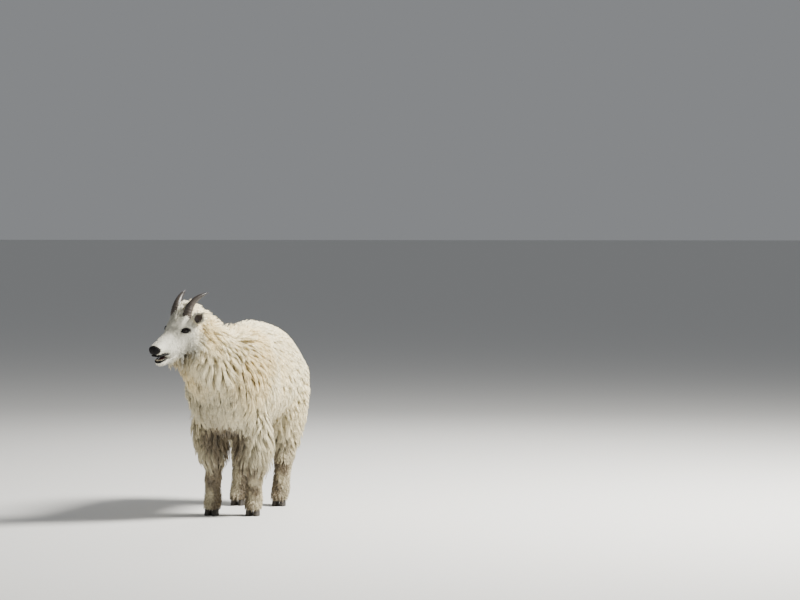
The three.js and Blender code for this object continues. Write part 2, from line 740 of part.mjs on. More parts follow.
// Horns and ears, which the locks of the head are cut clear of
const growths = joined(sides.flatMap(([name, side]) => [
  horn(side).solid(GAP),
  solid(ear(name, GAP)),
]));
const jawClear = jaw.solid(GAP, jawSwing);
headSolid = headSolid.add(locksSolid(headLocks).subtract(growths).subtract(jawClear));
place('head', headSolid.subtract(padRegion(GAP)), FACE, head);
place('nose_pad', skull.solid(1.5).intersect(padRegion(0)).subtract(nostrils), BLACK_SKIN, head);
const jawSolid = jaw.solid(0, jawSwing).add(solid(bead(LOWER_LIP, 4, 6).applyMatrix4(jawSwing)));
const jawHair = locksSolid(jawLocks, 0, jawSwing);
const jawWhole = jawSolid.add(jawHair).subtract(tongue.solid(GAP, jawSwing)).add(teeth());
place('jaw', jawWhole.subtract(skullClear).subtract(locksClear(headLocks)), FACE, head);
place('tongue', tongue.solid(0, jawSwing).subtract(skullClear), TONGUE_PINK, head);
for (const [name, side] of sides) {
  place(`eye_${name}`, ball(EYE_RADIUS, mirrored(EYE_PLACE, side), 12), EYE_BROWN, head);
  place(`horn_${name}`, horn(side).solid().subtract(skullClear), HORN_GREY, head);
  place(`ear_${name}`, solid(ear(name)).subtract(skullClear), FACE, head);
}

// What the coat has to keep clear of: the head with its ears and horns, and other cores
const headClear = joined([
  skull.geometry(GAP),
  jaw.geometry(GAP).applyMatrix4(jawSwing),
  ...sides.map(([, side]) => horn(side).geometry(GAP)),
  ...sides.map(([name]) => ear(name, GAP)),
].map((part) => solid(part.applyMatrix4(headMatrix))));
const trunkWide = trunk.solid(CORE_GAP);
const bodyWide = neck.solid(CORE_GAP).add(trunkWide);
const coreClear = {
  neck: bodyWide.intersect(beforeNeck(CORE_GAP)),
  shoulders: bodyWide.intersect(behindNeck(CORE_GAP)).intersect(before(SHOULDER_CUT, CORE_GAP)),
  barrel: trunkWide.intersect(behind(SHOULDER_CUT, CORE_GAP)).intersect(before(RUMP_CUT, CORE_GAP)),
  rump: trunkWide.intersect(behind(RUMP_CUT, CORE_GAP)),
};
for (const [name, stance] of Object.entries(STANCE)) {
  coreClear[`leg_${name}_upper`] = legForm(stance).solid(CORE_GAP);
}

const jawPlace = headMatrix.clone().multiply(jawSwing);
let claimed = headClear.add(locksClear(headLocks, headMatrix)).add(locksClear(jawLocks, jawPlace));
for (const [name, core] of Object.entries(cores)) {
  const others = Object.entries(coreClear).filter(([other]) => other !== name);
  const locks = locksSolid(coatLocks[name]).subtract(joined(others.map(([, clear]) => clear)));
  place(name, core.add(locks).subtract(claimed), COAT);
  claimed = claimed.add(locksClear(coatLocks[name]));
}
place('tail', tail.solid().subtract(claimed).subtract(trunkClear), COAT);
for (const [name, body] of Object.entries(legs)) place(name, body.subtract(claimed), LEG_WOOL);
for (const [name, stance] of Object.entries(STANCE)) {
  place(`hoof_${name}_outer`, digit(stance, 1), HOOF_BLACK);
  place(`hoof_${name}_inner`, digit(stance, -1), HOOF_BLACK);
}

// The origin sits on the floor, under the middle of the model
goat.updateMatrixWorld(true);
const extent = new THREE.Box3().setFromObject(goat, true);
const middle = extent.getCenter(new THREE.Vector3());
goat.position.set(-middle.x, -middle.y, 0);

export default goat;
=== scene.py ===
"""A life-size mountain goat, dressed: skin, coat of tufts, face, horns, ears and hooves.

The goat stands on a level floor, head turned to its own right, mouth slightly open. Every
table of sizes is in millimetres, in the goat's own frame: +Z up, looking along -Y, its left
side on +X.
"""
from __future__ import annotations

import logging
from dataclasses import dataclass, field, replace
from enum import Enum
from typing import Callable, Sequence

import bpy
import numpy as np
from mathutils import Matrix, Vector

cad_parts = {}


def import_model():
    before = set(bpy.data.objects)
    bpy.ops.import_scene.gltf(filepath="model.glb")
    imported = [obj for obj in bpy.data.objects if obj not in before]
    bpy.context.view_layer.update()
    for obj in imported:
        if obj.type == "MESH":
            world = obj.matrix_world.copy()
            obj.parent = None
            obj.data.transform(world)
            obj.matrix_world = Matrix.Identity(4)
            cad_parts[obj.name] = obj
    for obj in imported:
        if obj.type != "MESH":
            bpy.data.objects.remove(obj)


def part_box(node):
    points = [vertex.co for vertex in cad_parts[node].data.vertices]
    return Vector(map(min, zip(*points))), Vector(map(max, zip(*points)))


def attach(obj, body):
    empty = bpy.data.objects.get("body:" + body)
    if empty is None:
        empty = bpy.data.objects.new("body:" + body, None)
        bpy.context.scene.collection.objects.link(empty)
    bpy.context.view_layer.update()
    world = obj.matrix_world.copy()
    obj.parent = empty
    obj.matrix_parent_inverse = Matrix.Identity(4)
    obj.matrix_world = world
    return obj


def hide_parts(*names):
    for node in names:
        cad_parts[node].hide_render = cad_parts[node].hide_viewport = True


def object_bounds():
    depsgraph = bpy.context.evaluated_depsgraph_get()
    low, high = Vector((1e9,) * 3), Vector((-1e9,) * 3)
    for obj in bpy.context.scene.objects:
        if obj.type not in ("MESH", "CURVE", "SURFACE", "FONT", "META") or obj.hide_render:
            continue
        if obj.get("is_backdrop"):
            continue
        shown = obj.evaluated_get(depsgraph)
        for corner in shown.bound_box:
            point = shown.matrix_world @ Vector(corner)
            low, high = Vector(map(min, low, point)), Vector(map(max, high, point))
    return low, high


LOG = logging.getLogger("goat")
MM = 0.001
Array = np.ndarray
Rgb = tuple[int, int, int]
Piece = bpy.types.Object
Material = bpy.types.Material

# The head in the body's frame, as the solids have it
HEAD_PLACE = (-152.0, -600.0, 898.0)
HEAD_YAW, HEAD_PITCH, HEAD_ROLL = 26.0, 21.0, 4.0
JAW_OPEN = 7.0
JAW_HINGE = (0.0, 25.0, -68.0)
EYE_RADIUS = 16.5
EYE_PLACE = (49.0, 0.0, 4.0)
EAR_LENGTH, EAR_WIDTH = 108.0, 54.0
# Ears: root, where each points and where its cup opens, in the head's own frame
EARS = {
    "left": ((50, 70, 12), (0.8, -0.12, 0.58), (0.1, -0.92, -0.37)),
    "right": ((-50, 70, 14), (-0.4, 0.82, 0.4), (-0.85, -0.35, 0.2)),
}

# Trunk: y, half width, top and bottom of the coat, depth of the coat
TRUNK = (
    (-480, 50, 668, 545, 24), (-462, 108, 725, 475, 30), (-425, 164, 815, 428, 32),
    (-340, 192, 895, 400, 32), (-230, 202, 922, 395, 30), (-100, 200, 925, 410, 25),
    (30, 188, 928, 420, 18), (160, 194, 908, 428, 13), (280, 206, 892, 445, 12),
    (380, 210, 874, 465, 12), (450, 188, 838, 500, 14), (495, 130, 784, 570, 14),
    (512, 50, 738, 650, 12),
)
# Neck: x, y, z of its middle, half width, half depth up and down, depth of the coat
NECK = (
    (-140, -600, 966, 54, 96, 80, 10), (-100, -520, 896, 100, 138, 140, 28),
    (-58, -450, 806, 138, 152, 190, 34), (-22, -364, 716, 154, 166, 202, 36),
    (0, -270, 650, 150, 180, 180, 36),
)
NECK_LIE = (0.26, 0.66, -0.7)
# Head, from the nose back: y, half width, top, bottom
SKULL = (
    (-181, 12, -26, -42), (-177, 24, -18, -54), (-165, 32, -11, -60), (-146, 35, -6, -62),
    (-128, 38, -1, -74), (-112, 42, 4, -93), (-75, 47, 13, -108), (-40, 54, 29, -116),
    (-10, 61, 48, -120), (25, 66, 64, -119), (60, 65, 70, -108), (95, 54, 64, -76),
)
JAW = (
    (-170, 12, -68, -80), (-164, 22, -66, -89), (-148, 28, -66, -95), (-120, 31, -67, -98),
    (-85, 36, -68, -102), (-60, 40, -68, -104),
)
TONGUE = ((-150, 6, -66, -71), (-142, 13, -62, -72), (-120, 16, -60, -74), (-92, 16, -60, -75))
LEGS = ("fore_left", "fore_right", "hind_left", "hind_right")
# Left legs, downwards: x, y, z, half width, half depth aft and fore, depth of the coat
FORELEG = (
    (88, -275, 600, 70, 90, 90, 24), (94, -268, 500, 84, 100, 96, 26),
    (100, -260, 410, 96, 108, 96, 28), (102, -250, 320, 96, 104, 94, 36),
    (102, -243, 255, 88, 88, 92, 38), (101, -239, 214, 78, 80, 82, 34),
    (100, -235, 178, 44, 48, 48, 4), (100, -232, 130, 38, 42, 41, 0),
    (100, -230, 78, 43, 46, 44, 0), (100, -238, 52, 41, 42, 50, 0),
    (100, -243, 30, 38, 40, 48, 0),
)
HINDLEG = (
    (92, 330, 660, 92, 120, 120, 15), (102, 364, 560, 114, 126, 136, 17),
    (102, 370, 470, 106, 116, 144, 24), (98, 364, 390, 84, 94, 130, 26),
    (97, 348, 318, 70, 80, 92, 24), (94, 322, 250, 52, 60, 56, 8),
    (92, 298, 185, 43, 46, 46, 0), (90, 282, 120, 43, 45, 45, 0),
    (90, 270, 78, 46, 50, 46, 0), (90, 254, 52, 43, 46, 52, 0),
    (90, 244, 30, 40, 44, 50, 0),
)
TAIL = (
    (0, 468, 800, 24, 14, 16, 8), (0, 500, 792, 30, 18, 20, 10),
    (2, 522, 764, 30, 18, 20, 10), (3, 531, 726, 22, 14, 16, 8), (3, 532, 700, 10, 8, 8, 3),
)
HORN = (
    (37, 40, 42, 20), (39, 52, 66, 19.5), (42, 74, 92, 17), (49, 104, 111, 13),
    (60, 141, 121, 8.5), (73, 179, 122, 1.8),
)
UPPER_LIP = ((37, -122, -68), (33, -140, -63), (28, -156, -61), (17, -170, -58), (0, -176, -55))
LOWER_LIP = ((30, -118, -70), (26, -140, -69), (20, -156, -68), (10, -166, -69), (0, -169, -69))

# Camera, measured from the goat's own frame
CAMERA_PLACE = (3899.65, -12368.12, 1356.83)
CAMERA_AZIMUTH, CAMERA_ELEVATION = 14.209, 1.471
CAMERA_LENS, CAMERA_SENSOR = 119.9, 36.0
# How far hair may stand proud of the solids' box, in metres
HAIR_PROUD = np.array([0.008, 0.008, -0.002])


def unit(v: Array) -> Array:
    """Vectors scaled to length one: v / |v|."""
    v = np.asarray(v, float)
    return v / np.maximum(np.linalg.norm(v, axis=-1, keepdims=True), 1e-12)


def smoothstep(x: Array, low: float, high: float) -> Array:
    """A soft step from 0 at low to 1 at high: 3u² - 2u³ with u the share of the way."""
    u = np.clip((np.asarray(x, float) - low) / (high - low), 0, 1)
    return u * u * (3 - 2 * u)


def turn_about(axis: str, degrees: float) -> Array:
    """A rotation matrix of 4 x 4 about one of the axes x, y and z.

    Args:
        axis: x, y or z.
        degrees: the angle.

    Returns:
        The matrix.
    """
    c, s = np.cos(np.radians(degrees)), np.sin(np.radians(degrees))
    i, j = {"x": (1, 2), "y": (2, 0), "z": (0, 1)}[axis]
    m = np.eye(4)
    m[i, i] = m[j, j] = c
    m[i, j], m[j, i] = -s, s
    return m


def shift_by(offset: Sequence[float]) -> Array:
    """A translation matrix of 4 x 4.

    Args:
        offset: how far, by axis.

    Returns:
        The matrix.
    """
    m = np.eye(4)
    m[:3, 3] = offset
    return m


def apply(matrix: Array, points: Array) -> Array:
    """Points carried by a matrix of 4 x 4."""
    return points @ matrix[:3, :3].T + matrix[:3, 3]


def catmull_rom(points: Array, t: Array) -> Array:
    """A centripetal Catmull-Rom curve through points, at shares t of its stations.

    Each span is the cubic whose end slopes come from its neighbours, weighted by the square
    roots of the chords.

    Args:
        points: stations, one a row.
        t: shares from 0 to 1, even in stations.

    Returns:
        The points of the curve, one row for each t.
    """
    p = np.asarray(points, float)
    ends = np.vstack([2 * p[0] - p[1], p, 2 * p[-1] - p[-2]])
    place = np.clip(t, 0, 1) * (len(p) - 1)
    i = np.minimum(place.astype(int), len(p) - 2)
    w = (place - i)[:, None]
    a, b, c, d = (ends[i + k] for k in range(4))
    root = [np.sqrt(np.linalg.norm(q - r, axis=1))[:, None] for q, r in ((b, a), (c, b), (d, c))]
    middle = np.where(root[1] < 1e-4, 1.0, root[1])
    first = np.where(root[0] < 1e-4, middle, root[0])
    last = np.where(root[2] < 1e-4, middle, root[2])
    slope_b = ((b - a) / first - (c - a) / (first + middle) + (c - b) / middle) * middle
    slope_c = ((c - b) / middle - (d - b) / (middle + last) + (d - c) / last) * middle
    square = 3 * (c - b) - 2 * slope_b - slope_c
    cube = 2 * (b - c) + slope_b + slope_c
    return b + w * (slope_b + w * (square + w * cube))


def lengthwise(table: Sequence[Sequence[float]]) -> list[tuple[float, ...]]:
    """Stations on the middle plane from rows of y, half width, top, bottom and coat depth."""
    rows = ((y, side, (top - low) / 2, low, sum(coat)) for y, side, top, low, *coat in table)
    return [(0, y, low + half, side, half, half, coat) for y, side, half, low, coat in rows]


@dataclass
class Swelling:
    """A soft rise or hollow on both sides of the middle plane.

    The push at a point is push * exp(-(distance / radius)²), in millimetres.
    """

    place: tuple[float, float, float]
    radius: float
    push: float

    def at(self, points: Array) -> Array:
        """The push, in metres, at points of the form's own frame.

        Args:
            points: the points.

        Returns:
            Metres outwards.
        """
        away = np.stack([np.abs(points[..., 0]), points[..., 1], points[..., 2]], -1)
        distance = np.linalg.norm(away - np.array(self.place) * MM, axis=-1)
        return self.push * MM * np.exp(-((distance / (self.radius * MM)) ** 2))


@dataclass
class Form:
    """A rounded body form: rings about a spine, square to one direction.

    A ring's point at an angle is the spine's point plus side * cos * reach * half width and
    up * sin * reach * half depth, where reach makes the ring a superellipse. Stations hold
    x, y, z, half width, half depth up and down, and the depth of the coat.
    """

    stations: Sequence[Sequence[float]]
    along: Sequence[float]
    square: float = 2.1
    swellings: Sequence[Swelling] = ()
    matrix: Array = field(default_factory=lambda: np.eye(4))
    samples: int = 300

    def __post_init__(self) -> None:
        """Samples the spine, the half sizes and the depth of the coat."""
        rows = np.array(self.stations, float)
        self.t = np.linspace(0, 1, self.samples + 1)
        self.middle = catmull_rom(rows[:, :3], self.t) * MM
        self.half = np.maximum(catmull_rom(rows[:, 3:6], self.t), 0.5) * MM
        padded = np.pad(rows[:, 6:7], ((0, 0), (0, 2)))
        self.depth = catmull_rom(padded, self.t)[:, 0] * MM
        self.axis = unit(np.array(self.along, float))
        self.side = unit(np.array([1.0, 0, 0]) - self.axis * self.axis[0])
        self.up = np.cross(self.side, self.axis)
        self.goal = self.middle @ self.axis
        self.inverse = np.linalg.inv(self.matrix)

    def column(self, table: Array, t: Array) -> Array:
        """A table of values along the spine, one row a sample, read at shares t."""
        if table.ndim == 1:
            return np.interp(t, self.t, table)
        return np.stack([np.interp(t, self.t, table[:, k]) for k in range(table.shape[1])], -1)

    def coat(self, t: Array) -> Array:
        """The depth of the coat at shares t of the spine."""
        return self.column(self.depth, t)

    def local(self, t: Array, angle: Array, lift: Array | float = 0.0) -> Array:
        """Points of the form in its own frame, raised by lift from the coat's surface.

        Args:
            t: shares of the spine.
            angle: angles round it.
            lift: metres above the surface.

        Returns:
            Points.
        """
        middle, half = self.column(self.middle, t), self.column(self.half, t)
        c, s = np.cos(angle), np.sin(angle)
        power = self.square
        reach = (np.abs(c) ** power + np.abs(s) ** power) ** (-1 / power)
        rise = np.where(s > 0, half[..., 1], half[..., 2])

        def outward(extra: Array | float) -> Array:
            """How far the ring reaches from the spine."""
            across = (c * reach * (half[..., 0] + extra))[..., None] * self.side
            return across + (s * reach * (rise + extra))[..., None] * self.up

        plain = outward(0.0)
        push = sum((swelling.at(middle + plain) for swelling in self.swellings), 0.0)
        return middle + outward(lift) + unit(plain) * np.asarray(push)[..., None]

    def point(self, t: Array, angle: Array, lift: Array | float = 0.0) -> Array:
        """Points of the form in the goat's frame."""
        return apply(self.matrix, self.local(t, angle, lift))

    def normal(self, t: Array, angle: Array) -> Array:
        """Outward normals: the cross product of steps along and around the form.

        Args:
            t: shares of the spine.
            angle: angles round it.

        Returns:
            Unit vectors.
        """
        low, high = np.maximum(t - 0.008, 0), np.minimum(t + 0.008, 1)
        lengthwise_step = self.local(high, angle) - self.local(low, angle)
        around = self.local(t, angle + 0.03) - self.local(t, angle - 0.03)
        return unit(np.cross(lengthwise_step, around)) @ self.matrix[:3, :3].T

    def locate(self, points: Array) -> tuple[Array, Array, Array]:
        """The share, the angle and the height above the coat's surface of points.

        The share is where the spine is as far along as the point, and the height is the
        point's distance from the spine less the ring's own at that angle.

        Args:
            points: points in the goat's frame.

        Returns:
            Shares of the spine, angles, and heights, which are negative inside.
        """
        own = apply(self.inverse, points)
        goal = own @ self.axis
        t = np.interp(goal, self.goal, self.t)
        middle, half = self.column(self.middle, t), self.column(self.half, t)
        away = own - middle
        u, v = away @ self.side, away @ self.up
        rise = np.where(v > 0, half[..., 1], half[..., 2])
        angle = np.arctan2(v / rise, u / half[..., 0])
        surface = np.linalg.norm(self.local(t, angle) - middle, axis=-1)
        height = np.hypot(u, v) - surface
        beyond = np.maximum(np.maximum(goal - self.goal[-1], self.goal[0] - goal), 0)
        outside = np.hypot(np.maximum(height, 0), beyond)
        return t, angle, np.where(beyond > 1e-4, outside, height)

    def grid(self, rows: int, sides: int, inset: Callable[[Array], Array]) -> tuple[Array, Array]:
        """A closed surface over the form, sunk by inset(t).

        Args:
            rows: rings along the spine.
            sides: points around a ring.
            inset: how far the surface lies below the coat's surface, by share.

        Returns:
            Vertices and quads; each end is closed by a fan.
        """
        t = np.linspace(0, 1, rows)[:, None] * np.ones(sides)
        angle = np.ones(rows)[:, None] * (np.arange(sides) + 0.5) / sides * 2 * np.pi
        points = self.point(t, angle, -inset(t))
        return tube_faces(points)


def tube_faces(points: Array) -> tuple[Array, list]:
    """Vertices and faces of a closed tube from a grid of rings, with a fan at each end.

    Args:
        points: a grid of points, one row a ring.

    Returns:
        Vertices and faces.
    """
    rows, sides = points.shape[:2]
    index = np.arange(rows * sides).reshape(rows, sides)
    nxt = np.roll(index, -1, axis=1)
    quads = np.stack([index[:-1], index[1:], nxt[1:], nxt[:-1]], -1).reshape(-1, 4)
    verts = np.vstack([points.reshape(-1, 3), points[0].mean(0), points[-1].mean(0)])
    first, last = rows * sides, rows * sides + 1
    start = np.stack([np.full(sides, first), index[0], nxt[0]], -1)
    end = np.stack([np.full(sides, last), nxt[-1], index[-1]], -1)
    return verts, [*quads.tolist(), *start.tolist(), *end.tolist()]


def mesh_object(name: str, verts: Array, faces: list, smooth: bool = True) -> Piece:
    """An object at the origin with a mesh of the given vertices and faces.

    Args:
        name: its name.
        verts: vertices.
        faces: lists of vertex numbers.
        smooth: whether it is shaded smooth.

    Returns:
        The object.
    """
    mesh = bpy.data.meshes.new(name)
    mesh.from_pydata(verts.tolist(), [], faces)
    mesh.update()
    mesh.polygons.foreach_set("use_smooth", np.full(len(mesh.polygons), smooth))
    piece = bpy.data.objects.new(name, mesh)
    bpy.context.scene.collection.objects.link(piece)
    return piece


def outward(piece: Piece) -> Piece:
    """Turns a closed piece's faces outwards, by the sign of its volume.

    Args:
        piece: the closed piece.

    Returns:
        The same piece.
    """
    a, b, c = triangle_corners(piece)
    if np.einsum("ij,ij->i", a, np.cross(b, c)).sum() < 0:
        piece.data.flip_normals()
    return piece


def closed_piece(name: str, verts: Array, faces: list, finish: Material) -> Piece:
    """A closed piece with its faces outwards and its finish on.

    Args:
        name: the piece's name.
        verts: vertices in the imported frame.
        faces: faces as lists of vertex numbers.
        finish: the material.

    Returns:
        The piece.
    """
    piece = outward(mesh_object(name, verts, faces))
    piece.data.materials.append(finish)
    return piece


def merged(parts: Sequence[tuple[Array, list]]) -> tuple[Array, list]:
    """Several meshes as one.

    Args:
        parts: the vertices and faces of each.

    Returns:
        Vertices and faces, in the order of the parts.
    """
    starts = np.cumsum([0, *(len(verts) for verts, _ in parts)]).tolist()
    faces = [[k + s for k in face] for s, (_, own) in zip(starts, parts) for face in own]
    return np.vstack([verts for verts, _ in parts]), faces


def tube(path: Array, radii: Array, sides: int = 14, flatten: float = 1.0) -> tuple[Array, list]:
    """A round closed tube along a path, its rings square to the path.

    A ring's point is the path's + radius * (side * cos + up * sin * flatten), and each side
    is the last one carried on, made square to the path again.

    Args:
        path: points along the middle.
        radii: the radius at each point.
        sides: points around.
        flatten: the second half size as a share of the radius.

    Returns:
        Vertices and faces.
    """
    tangent = unit(np.gradient(path, axis=0))
    guide = np.array([0.0, 0, 1]) if abs(tangent[0][2]) < 0.8 else np.array([1.0, 0, 0])
    side = np.empty_like(tangent)
    side[0] = unit(np.cross(guide, tangent[0]))
    for k in range(1, len(path)):
        carried = side[k - 1] - tangent[k] * (side[k - 1] @ tangent[k])
        side[k] = unit(carried)
    up = np.cross(tangent, side)
    angle = np.arange(sides) / sides * 2 * np.pi
    c, s = np.cos(angle)[None, :, None], np.sin(angle)[None, :, None]
    ring = c * side[:, None] + s * up[:, None] * flatten
    return tube_faces(path[:, None] + ring * radii[:, None, None])


@dataclass
class Body:
    """The goat's body as forms, with a smooth union of their coats' surfaces."""

    place: Array
    blend: float = 8.0

    def __post_init__(self) -> None:
        """Places the head and the jaw, and makes every form."""
        self.head = shift_by(np.array(HEAD_PLACE) * MM) @ turn_about("z", -HEAD_YAW)
        self.head = self.head @ turn_about("x", HEAD_PITCH) @ turn_about("y", HEAD_ROLL)
        hinge = np.array(JAW_HINGE) * MM
        swing = shift_by(hinge) @ turn_about("x", JAW_OPEN) @ shift_by(-hinge)
        self.jaw_matrix = self.head @ swing
        rearward, downward = (0, 1, 0), (0, 0, -1)
        skull_shape = (
            Swelling((56, 6, 30), 17, 6), Swelling((50, 28, -48), 30, 5),
            Swelling((36, -52, 0), 22, -3), Swelling((26, -166, -24), 16, 3),
            Swelling((34, -112, -26), 22, -2), Swelling((0, 62, 66), 34, 16),
        )
        trunk_shape = (
            Swelling((150, 360, 830), 110, -18), Swelling((175, 425, 760), 95, -38),
            Swelling((190, 440, 530), 80, -18), Swelling((0, -130, 925), 150, -20),
            Swelling((50, -440, 430), 75, -24), Swelling((190, -50, 800), 62, -18),
            Swelling((200, -50, 690), 72, -22),
        )
        leg_shapes = {
            "fore_right": (Swelling((196, -250, 265), 80, -36),),
            "hind_left": (Swelling((205, 400, 500), 80, -16),),
        }
        self.forms = {
            "trunk": Form(lengthwise(TRUNK), rearward, 2.15, trunk_shape),
            "neck": Form(NECK, NECK_LIE, 2.1),
            "skull": Form(lengthwise(SKULL), rearward, 2.25, skull_shape, self.head),
            "jaw": Form(lengthwise(JAW), rearward, 2.4, (), self.jaw_matrix),
            "tail": Form(TAIL, (0, 0.45, -0.9), 2.0),
        }
        for name, side, table, shift, hitch in (
            ("fore_left", 1, FORELEG, (2, 16), 0), ("fore_right", -1, FORELEG, (6, -14), 42),
            ("hind_left", 1, HINDLEG, (0, 0), 0), ("hind_right", -1, HINDLEG, (-26, -24), 0),
        ):
            rows = [
                (x * side + shift[0], y + shift[1], z + hitch if 170 < z < 450 else z, *rest)
                for x, y, z, *rest in table
            ]
            self.forms[name] = Form(rows, downward, 2.1, leg_shapes.get(name, ()))

    def to_frame(self, points: Array) -> Array:
        """Points of the goat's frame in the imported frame."""
        return points + self.place

    def head_share(self, points: Array) -> Array:
        """How far points belong to the head: soft steps of height over it and of behind.

        Args:
            points: points in the goat's frame.

        Returns:
            Shares from 0 to 1.
        """
        skull, jaw = (self.forms[name].locate(points)[2] for name in ("skull", "jaw"))
        near = 1 - smoothstep(np.minimum(skull, jaw), 0.02, 0.05)
        return near * (1 - smoothstep(self.behind(points), 0.075, 0.105))

    def behind(self, points: Array) -> Array:
        """How far back in the head points lie: y + 0.35 * (-z, kept from 0 to 0.1 m)."""
        own = apply(np.linalg.inv(self.head), points)
        return own[:, 1] + 0.35 * np.clip(-own[:, 2], 0, 0.1)

    def field(self, points: Array) -> tuple[Array, Array]:
        """The smooth union of the coats' surfaces.

        The height is -log(sum(exp(-k * height of each form))) / k, and the normals are
        weighted by the same exponentials.

        Args:
            points: points in the goat's frame.

        Returns:
            Heights above the coat's surface, and outward normals.
        """
        k = 1 / (self.blend * MM)
        total, normals = np.zeros(len(points)), np.zeros_like(points)
        for form in self.forms.values():
            t, angle, height = form.locate(points)
            near = np.exp(-k * np.clip(height, -0.25, 0.25))
            total += near
            normals += form.normal(t, angle) * near[:, None]
        return -np.log(total) / k, unit(normals)


def wave(p: Array, seed: float, scale: float) -> Array:
    """A smooth field from -1 to 1: the mean of three products of sines, scale in metres.

    Args:
        p: places.
        seed: which field.
        scale: its wavelength.

    Returns:
        Values.
    """
    q = p / scale * 2 * np.pi
    x, y, z = q[..., 0], q[..., 1], q[..., 2]
    a = np.sin(x * 0.9 + y * 0.4 + seed) * np.cos(z * 0.8 - seed * 1.7)
    b = np.sin(y * 1.1 - z * 0.5 + seed * 2.3) * np.cos(x * 0.7 + seed)
    c = np.sin(z * 1.2 + x * 0.6 + seed * 0.7) * np.cos(y * 0.9 - seed * 0.4)
    return (a + b + c) / 1.6


def linear(rgb: Sequence[float]) -> Array:
    """A colour given as it looks on a screen, 0 to 255, as linear values."""
    c = np.array(rgb, float) / 255
    return np.where(c <= 0.04045, c / 12.92, ((c + 0.055) / 1.055) ** 2.4)


class Slot(Enum):
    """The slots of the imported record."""

    COAT = "coat"
    EAR = "ear"
    NOSE_SKIN = "nose_skin"
    TONGUE = "tongue"
    EYE = "eye"
    HORN = "horn"
    HOOF = "hoof"


@dataclass(frozen=True)
class Palette:
    """The colours of the coat, as they look on a screen."""

    cream: Rgb = (255, 244, 206)
    straw: Rgb = (252, 228, 168)
    white: Rgb = (222, 219, 204)
    # A dark brown mixed in both for real soil and for painted shade and shadow
    soil_and_shade: Rgb = (92, 74, 50)
    most_soil_and_shade: float = 0.9

    def coat(self, p: Array, n: Array, body: Body) -> Array:
        """The colour of the coat at places in the goat's frame.

        Straw shows in soft patches, most over the neck and shoulders, the face is whiter, and
        the soil colour is mixed in both for real soil and for painted shade: on the body by place
        and facing, under the jaw, and as a painted shadow line along the jaw's lower edge.

        Args:
            p: places, one a row.
            n: outward normals there.
            body: the forms that say where the head is.

        Returns:
            Linear colours, one a row.
        """
        cream, straw, white, soil_and_shade = map(linear, (self.cream, self.straw, self.white, self.soil_and_shade))
        upper = smoothstep(p[:, 2], 0.45, 0.8) * (0.35 + 0.65 * smoothstep(-p[:, 1], -0.05, 0.15))
        patch = smoothstep(wave(p, 1.3, 0.42) + 0.4 * wave(p, 7.7, 0.11), -0.8, 0.9)
        colour = cream + (straw - cream) * (patch * (0.15 + 0.6 * upper))[:, None]
        own = apply(np.linalg.inv(body.head), p)
        share = body.head_share(p)
        face = share * (1 - smoothstep(body.behind(p), 0.02, 0.1))
        under = (1 - smoothstep(own[:, 2], -0.112, -0.096)) * smoothstep(own[:, 1], -0.1, -0.075)
        colour = colour + (white - colour) * (face * (1 - under))[:, None]
        # Painted shade under the jaw and a painted shadow line along its lower edge join the body's
        # soil and painted shade
        dirt_and_shade = self.soiled_and_shaded(p, n) + 0.3 * face * under + 0.5 * self.jaw_shadow_line(own) * share
        return colour + (soil_and_shade - colour) * np.clip(dirt_and_shade, 0, self.most_soil_and_shade)[:, None]

    def jaw_shadow_line(self, own: Array) -> Array:
        """The painted shadow line along the jaw's lower edge: exp(-(height off a sloping line / 7
        mm)²).
        """
        edge = np.exp(-(((own[:, 2] + 0.104 - 0.12 * (own[:, 1] - 0.02)) / 0.007) ** 2))
        return edge * smoothstep(own[:, 1], -0.07, -0.03) * smoothstep(-own[:, 1], -0.055, -0.04)

    def soiled_and_shaded(self, p: Array, n: Array) -> Array:
        """How much soil and painted shade the body's coat takes: products of soft steps of place
        and facing.

        The lower legs are darker all round and most on their fronts, in blotches, and insides:
        partly real soil, partly painted shade. The chest's front takes a real stain in blotches
        mixed with painted shade on the side away from the light. The coat takes painted shade
        towards the bottom, and the painted shadow that the bib casts between the forelegs is
        darkest of all.

        Args:
            p: places in the goat's frame.
            n: outward normals there.

        Returns:
            Shares of soil and painted shade, not yet limited.
        """
        x, y, z = p.T
        front = smoothstep(-n[:, 1], 0.0, 0.8)
        inner = smoothstep(-n[:, 0] * np.sign(x), 0.1, 0.8)
        blotch = smoothstep(wave(p, 4.1, 0.13), -0.6, 0.7)
        # Lower legs: partly real soil, in blotches on the fronts, and partly painted shade, most on
        # the insides
        legs = smoothstep(-z, -0.4, -0.22) * (0.32 + 0.5 * front * blotch + 0.6 * inner)
        # Painted shadow cast by the bib between the forelegs
        shaded = smoothstep(-z, -0.50, -0.45) * smoothstep(-np.abs(x), -0.13, -0.06)
        shaded = shaded * smoothstep(y, -0.44, -0.38) * smoothstep(z, 0.31, 0.37) * (y < 0.1)
        # Chest front, on the side away from the light: a real stain in blotches mixed with painted
        # shade
        chest = smoothstep(-z, -0.72, -0.55) * smoothstep(z, 0.36, 0.44)
        chest = chest * front * smoothstep(-y, 0.2, 0.3) * smoothstep(-x, -0.1, 0.05)
        # Painted shade: the coat darker towards the bottom
        lower = 0.16 * smoothstep(-z, -0.6, -0.35)
        return lower + legs + 0.95 * shaded + 0.55 * chest * (0.6 + 0.4 * blotch)


